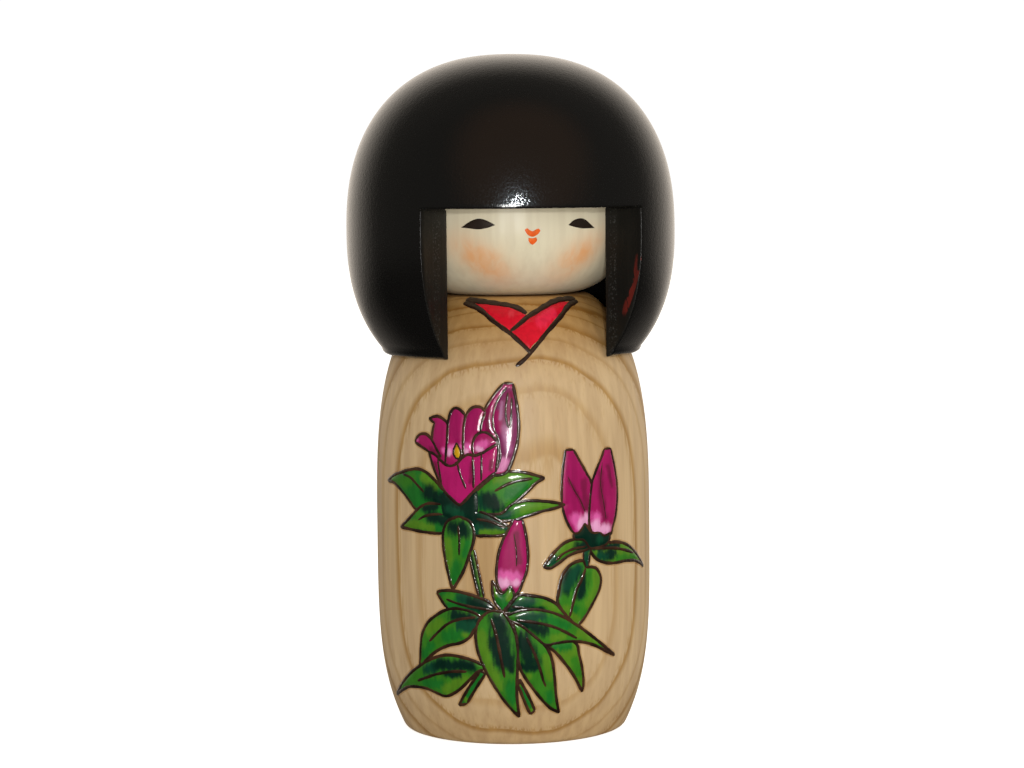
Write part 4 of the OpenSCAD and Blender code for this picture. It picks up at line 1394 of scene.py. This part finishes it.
# %% Line tree
def line_tree():
    tree, sockets, start, end = new_tree(
        "burnt_line", [("Relief", "NodeSocketFloat"), ("Extra Width", "NodeSocketFloat"),
                       ("Profile Points", "NodeSocketInt"), ("Finish", "NodeSocketMaterial")])
    normal = add(tree, "GeometryNodeInputNamedAttribute", {"Name": "surface_normal"},
                 data_type="FLOAT_VECTOR").outputs[0]
    width = add(tree, "GeometryNodeInputNamedAttribute", {"Name": "half_width"},
                data_type="FLOAT").outputs[0]
    path = add(tree, "GeometryNodeMeshToCurve", {"Mesh": start.outputs["Geometry"]})
    wide = plus(tree, width, start.outputs["Extra Width"])
    sized = add(tree, "GeometryNodeSetCurveRadius", {"Curve": path.outputs[0], "Radius": wide})
    facing = add(tree, "GeometryNodeSetCurveNormal",
                 {"Curve": sized.outputs[0], "Normal": normal}, mode="FREE")
    circle = add(tree, "GeometryNodeCurvePrimitiveCircle",
                 {"Resolution": start.outputs["Profile Points"], "Radius": 1.0})
    flatten = add(tree, "ShaderNodeCombineXYZ",
                  {"X": start.outputs["Relief"], "Y": 1.0, "Z": 1.0})
    profile = add(tree, "GeometryNodeTransform",
                  {"Geometry": circle.outputs["Curve"], "Scale": flatten.outputs[0]})
    radius = add(tree, "GeometryNodeInputRadius").outputs[0]
    ribbon = add(tree, "GeometryNodeCurveToMesh",
                 {"Curve": facing.outputs[0], "Profile Curve": profile.outputs[0],
                  "Scale": radius, "Fill Caps": True})
    finish_tree(tree, start, end, ribbon.outputs[0])
    return tree, sockets


BURNT, BURNT_INPUTS = line_tree()
print("inputs of the line tree:", list(BURNT_INPUTS))

# %% [markdown]
# Besides the outlines there are inner lines: the leaves' midribs, the folds of the petals and
# the collar's overlapping edges. Each names the shape that it is drawn on, and any part of a
# line that a shape further forward covers is left out.

# %% Inner lines
INNER = [
    ("upper_leaf_back", 0.75, [(-32, 58.8), (-29.4, 58.3), (-27.4, 57), (-25.3, 55.4)]),
    ("upper_leaf_low", 0.7, [(-26.9, 49.2), (-25, 50.2), (-22, 50.8), (-19.6, 50.6)]),
    ("drop_leaf", 0.6, [(-16.8, 48.6), (-16.6, 45.2), (-16.7, 42.2)]),
    ("right_leaf_high", 0.8, [(-8.8, 56.2), (-6, 57.7), (-3.6, 58.4), (-0.8, 58.8)]),
    ("right_leaf_low", 0.7, [(-13.6, 50.2), (-10, 49.7), (-6.6, 48.3)]),
    ("low_leaf_first", 0.7, [(-19.8, 32.5), (-17, 31.7), (-13, 31), (-9.6, 30.6)]),
    ("low_leaf_second", 0.75, [(-24.5, 22.9), (-22, 25.2), (-19.5, 27.2), (-16.5, 28.4), (-13.2, 28.9)]),
    ("low_leaf_long", 0.8, [(-29.2, 13.6), (-26.5, 14.6), (-23, 15.8), (-19, 16.7), (-15.6, 16.9)]),
    ("low_leaf_middle", 0.8, [(-9.8, 28.6), (-8.8, 25), (-7.9, 20), (-7.2, 15.8)]),
    ("low_leaf_front", 0.75, [(-2.4, 24.6), (-0.8, 21.2), (0.4, 18), (1.2, 15.2), (1.9, 13.6)]),
    ("low_leaf_right", 0.8, [(-4.4, 28.4), (-0.2, 27.7), (4, 26.4), (8.8, 23.8)]),
    ("low_leaf_behind", 0.7, [(-5.6, 31.3), (-2, 30.9), (1.4, 30.4)]),
    ("ovate_leaf", 0.8, [(10.9, 38.8), (9.8, 36.5), (8.6, 34.3), (7.7, 31.2), (7.1, 28.6)]),
    ("twin_leaf_left", 0.7, [(4, 41), (5.6, 42.4), (8, 43.3), (11, 43.6)]),
    ("twin_leaf_right", 0.8, [(13, 42.8), (17.8, 42.6), (21.8, 41.8), (25.8, 40.6)]),
    ("petal_tall_face", 0.7, [(-6.2, 78.2), (-8.3, 75.3), (-9.2, 72), (-9, 69.5), (-8, 67.2),
                              (-7.6, 63.5), (-8.5, 60.6)]),
    ("petal_tall_face", 0.6, [(-5.9, 77), (-6.4, 73.6), (-6.2, 70.9), (-5.7, 69.8), (-5.3, 71),
                              (-5.1, 76)]),
    ("petal_cup", 0.6, [(-21.8, 62.8), (-21.3, 60.6), (-20.6, 57)]),
    ("petal_cup", 0.6, [(-17, 62), (-16.2, 59.4), (-15, 56.6)]),
    ("petal_cup", 0.65, [(-13.6, 63.6), (-13.3, 60), (-13.4, 56.8)]),
    ("petal_cup", 0.6, [(-11.6, 64), (-11.6, 61), (-11.7, 58.4)]),
    ("bud_left", 0.3, [(6.8, 59), (8.2, 56), (9.6, 53.8), (10.9, 50.9)]),
    ("bud_right", 0.3, [(15.6, 61.4), (14.9, 57), (15.6, 53), (16.3, 49)]),
    ("bud_single", 0.35, [(-4.9, 47), (-4.4, 43.4), (-4.4, 40)]),
    ("collar_right", 1.3, [(-22, 96.5), (-15, 96), (-10, 95.6), (-5, 95.1), (-2.4, 94.5), (-0.4, 93.5)]),
    ("collar_right", 1.15, [(-22, 95.9), (-15, 94.4), (-10, 92), (-6, 89.9), (-4, 88.6), (-1.4, 86.5),
                            (-0.4, 85.4)]),
    ("collar_right", 1.1, [(-5.2, 90), (-2, 91.8), (0, 92.9), (5, 94.6), (10, 95.8), (15, 96.3),
                           (21, 96.4)]),
    ("collar_right", 1.05, [(21, 95.9), (15, 94.8), (10, 92.6), (5, 89.8), (2, 87.4), (0.3, 86),
                            (-0.8, 84.9), (-2.2, 83.8), (-4, 82.6)]),
]
print(len(INNER), "inner lines")

# %% [markdown]
# The outlines lie on the wood at one height, and the folds ride on top of the enamel, so their
# height is read off the cushion under them. A slow sway and a small shake of the width, with
# ends that thin out, stand for the hand that held the hot point.

# %% Lay the lines on the surface
BURNT_BLACK, BURNT_BROWN = (0.016, 0.006, 0.003), (0.07, 0.026, 0.009)
CHARRED_FROM, CHARRED_TO, CHARRED_SHARE = 80, 83, 0.25
LINE_SEED = 11
END_WIDTH, END_GROWTH = 0.55, 0.3
MEAN_WIDTH, SWAY, SWAY_PACE, SHIVER = 0.9, 0.07, 0.7, 0.03
SHORTEST_RUN = 3
PROFILE_POINTS = 8
LINE_EDGE = 60
OUTLINE_HEIGHT, OUTLINE_RELIEF = 0.05, 0.32
FOLD_SUNK, FOLD_RELIEF = 0.02, 0.3
COAT_REACH, COAT_POINTS, COAT_SOFTEN = 0.6, 3, 0.02


def visible_runs(line, level, loops):
    """The parts of a flat line that no shape in front of its level covers."""
    spots = np.array([[p.x, p.y] for p in line])
    hidden = np.zeros(len(line), bool)
    for loop in loops[level + 1:]:
        hidden |= inside(spots, loop)
    runs = [[]]
    for p, gone in zip(line, hidden):
        if gone:
            runs.append([])
        else:
            runs[-1].append(p)
    return [run for run in runs if len(run) >= SHORTEST_RUN]


def line_drawing(name, strokes, height_at):
    """A mesh of bare edges with each point's surface normal and line half width stored."""
    draw = random.Random(LINE_SEED)
    points, edges, normals, widths = [], [], [], []
    for width, run in strokes:
        first = len(points)
        phase = draw.uniform(0, 6)
        count = len(run)
        for i, p in enumerate(run):
            after, before = run[min(i + 1, count - 1)], run[max(i - 1, 0)]
            way = (after - before).normalized()
            out, up = normal_lean(body_radius, p.y)
            a = p.x / DRUM
            stretch = math.hypot(way.y * body_radius(p.y) / DRUM, way.x / out)
            ends = min(1, END_WIDTH + END_GROWTH * min(i, count - 1 - i))
            shiver = draw.uniform(-SHIVER, SHIVER)
            sway = MEAN_WIDTH + SWAY * math.sin(phase + i * SWAY_PACE) + shiver
            points.append(laid(p.x, p.y, height_at(p), body_radius, DRUM))
            normals.append((out * math.sin(a), -out * math.cos(a), up))
            widths.append(width / 2 * stretch * ends * sway * MM)
        edges += [(i, i + 1) for i in range(first, first + count - 1)]
    mesh = bpy.data.meshes.new(name)
    mesh.from_pydata(points, edges, [])
    store = mesh.attributes.new("surface_normal", "FLOAT_VECTOR", "POINT")
    store.data.foreach_set("vector", np.array(normals, np.float32).ravel())
    store = mesh.attributes.new("half_width", "FLOAT", "POINT")
    store.data.foreach_set("value", widths)
    return mesh


near_coat = finder(front_drawing["flat"])


def coat_height(p):
    """The height of the enamel at a point, from the nearest points of the drawing."""
    near = near_coat.find_n((p.x, p.y, 0), COAT_POINTS)
    if near[0][2] > COAT_REACH:
        return 0.0
    weights = [1 / (spot[2] + COAT_SOFTEN) for spot in near]
    lifts = [cushion_lift(front_drawing["borders"][spot[1]]) for spot in near]
    return sum(w * h for w, h in zip(weights, lifts)) / sum(weights)


def burnt_piece(name, strokes, height_at, relief_share, finish, extra=0.0):
    drawing = line_drawing(name, strokes, height_at)
    mesh = grown(name, drawing, BURNT, BURNT_INPUTS,
                 {"Relief": relief_share, "Extra Width": extra * MM,
                  "Profile Points": PROFILE_POINTS, "Finish": finish})
    work = bmesh.new()
    work.from_mesh(mesh)
    faces_out(work, mesh)
    shaded(mesh, LINE_EDGE)
    piece = link(name, mesh)
    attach(piece, "body")
    print(name, "has", len(mesh.polygons), "faces")


burnt, tree, shader = new_finish("burnt_line", Coat_Weight=1.0, Coat_Roughness=0.08, Coat_IOR=1.5,
                                 Specular_IOR_Level=0.2)
place = object_place(tree)
scorch = noise(tree, place, 240, 4)
charred = step(tree, height_of(tree, place), CHARRED_FROM * MM, CHARRED_TO * MM,
               1.0, CHARRED_SHARE)
amount = times(tree, step(tree, scorch, 0.35, 0.72), charred)
colour = mixed(tree, amount, BURNT_BLACK, BURNT_BROWN)
dress(tree, shader, colour, step(tree, scorch, 0.3, 0.7, 0.35, 0.6))
relief(tree, shader, noise(tree, place, 1300, 2), 0.00014, 0.8)

loops = front_drawing["loops"]
order = {entry["name"]: i for i, entry in enumerate(SHAPES)}
outlines, folds = [], []
for level, entry in enumerate(SHAPES):
    if entry["line"]:
        for side in entry["sides"]:
            outlines += [(entry["line"], run)
                         for run in visible_runs(smooth_line(side), level, loops)]
for owner, width, path in INNER:
    folds += [(width, run) for run in visible_runs(smooth_line(path), order[owner], loops)]
burnt_piece("burnt_outlines", outlines, lambda p: OUTLINE_HEIGHT, OUTLINE_RELIEF, burnt)
burnt_piece("burnt_folds", folds, lambda p: coat_height(p) - FOLD_SUNK, FOLD_RELIEF, burnt)

# %% [markdown]
# The clear lacquer that floods the flowers stops just outside the outlines, in a glossy bead
# that darkens the wood below it, as water does. It is the same tree with a wider, lower profile.
# Its finish is the body's wood finish in deeper colours and with a high gloss, and as both read
# the object's own coordinates, the rings run on through it without a step.

# %% Lacquer bead round the flowers
BEAD_EXTRA, BEAD_RELIEF = 0.3, 0.1
wet_wood = wood_finish("wet_wood", (0.55, 0.35, 0.17), (0.47, 0.285, 0.126), (0.26, 0.12, 0.04),
                       roughness=(0.12, 0.2), gloss=0.5)
burnt_piece("lacquer_bead", outlines, lambda p: 0.0, BEAD_RELIEF, wet_wood,
            BEAD_EXTRA)

# %% [markdown]
# ## Eyes and mouth
# The eyes and the small orange mouth are brushed on thickly, so they stand a little above the
# face. They are a second drawing, laid round the face core in the same way as the flowers, in
# a closer field of points because they are small.

# %% Features of the face
FACE_GAP, FACE_THIN = 0.3, 0.35
LACQUER_BLACK = (0.022, 0.014, 0.010)
LIP_ORANGE = (0.93, 0.15, 0.02)
LIP_SHADE = (0.9, 0.11, 0.015)
FEATURES = [
    shape("left_eye", "eye",
        [[(-15.3, 112.3), (-13.4, 113.5), (-11.4, 114.2), (-9.6, 113.8), (-7.7, 112.8)],
        [(-9.4, 112.2), (-11.4, 111.9), (-13.4, 112.1)]], LACQUER_BLACK, [], 0),
    shape("right_eye", "eye",
        [[(8.4, 112.6), (9.8, 113.6), (11.5, 114), (13, 113.6), (14.2, 112.7), (15.5, 111.8)],
        [(13.6, 111.8), (12, 111.8), (10.2, 112.1)]], LACQUER_BLACK, [], 0),
    shape("upper_lip", "lip",
        [[(-1.4, 111.7), (-0.9, 112.1), (-0.4, 111.7), (0.2, 111.4), (0.9, 111.7), (1.5, 112),
         (2, 111.6), (1.6, 110.9), (0.9, 110.4), (0.2, 110.2), (-0.4, 110.4), (-1, 110.9)]], LIP_ORANGE,
        [(LIP_SHADE, 0.5, [(0.2, 110.8)])], 0),
    shape("lower_lip", "lip",
        [[(-0.6, 110), (0.3, 109.9), (1.1, 110.1), (1.3, 109.5), (0.9, 108.9), (0.3, 108.5),
         (-0.2, 108.8), (-0.6, 109.4)]], LIP_ORANGE, [(LIP_SHADE, 0.5, [(0.3, 109.1)])], 0),
]
face_drawing = cut_out(FEATURES, FACE_GAP)
for kind, name, slot in (("eye", "eye_coat", "eye_lacquer"), ("lip", "lip_coat", "lip_lacquer")):
    finish = enamel_finish(slot, wet=FACE_WET)
    piece = coat(name, kind, face_drawing, finish, core_radius, CORE_R, FACE_THIN)
    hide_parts(slot)
    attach(piece, "head")
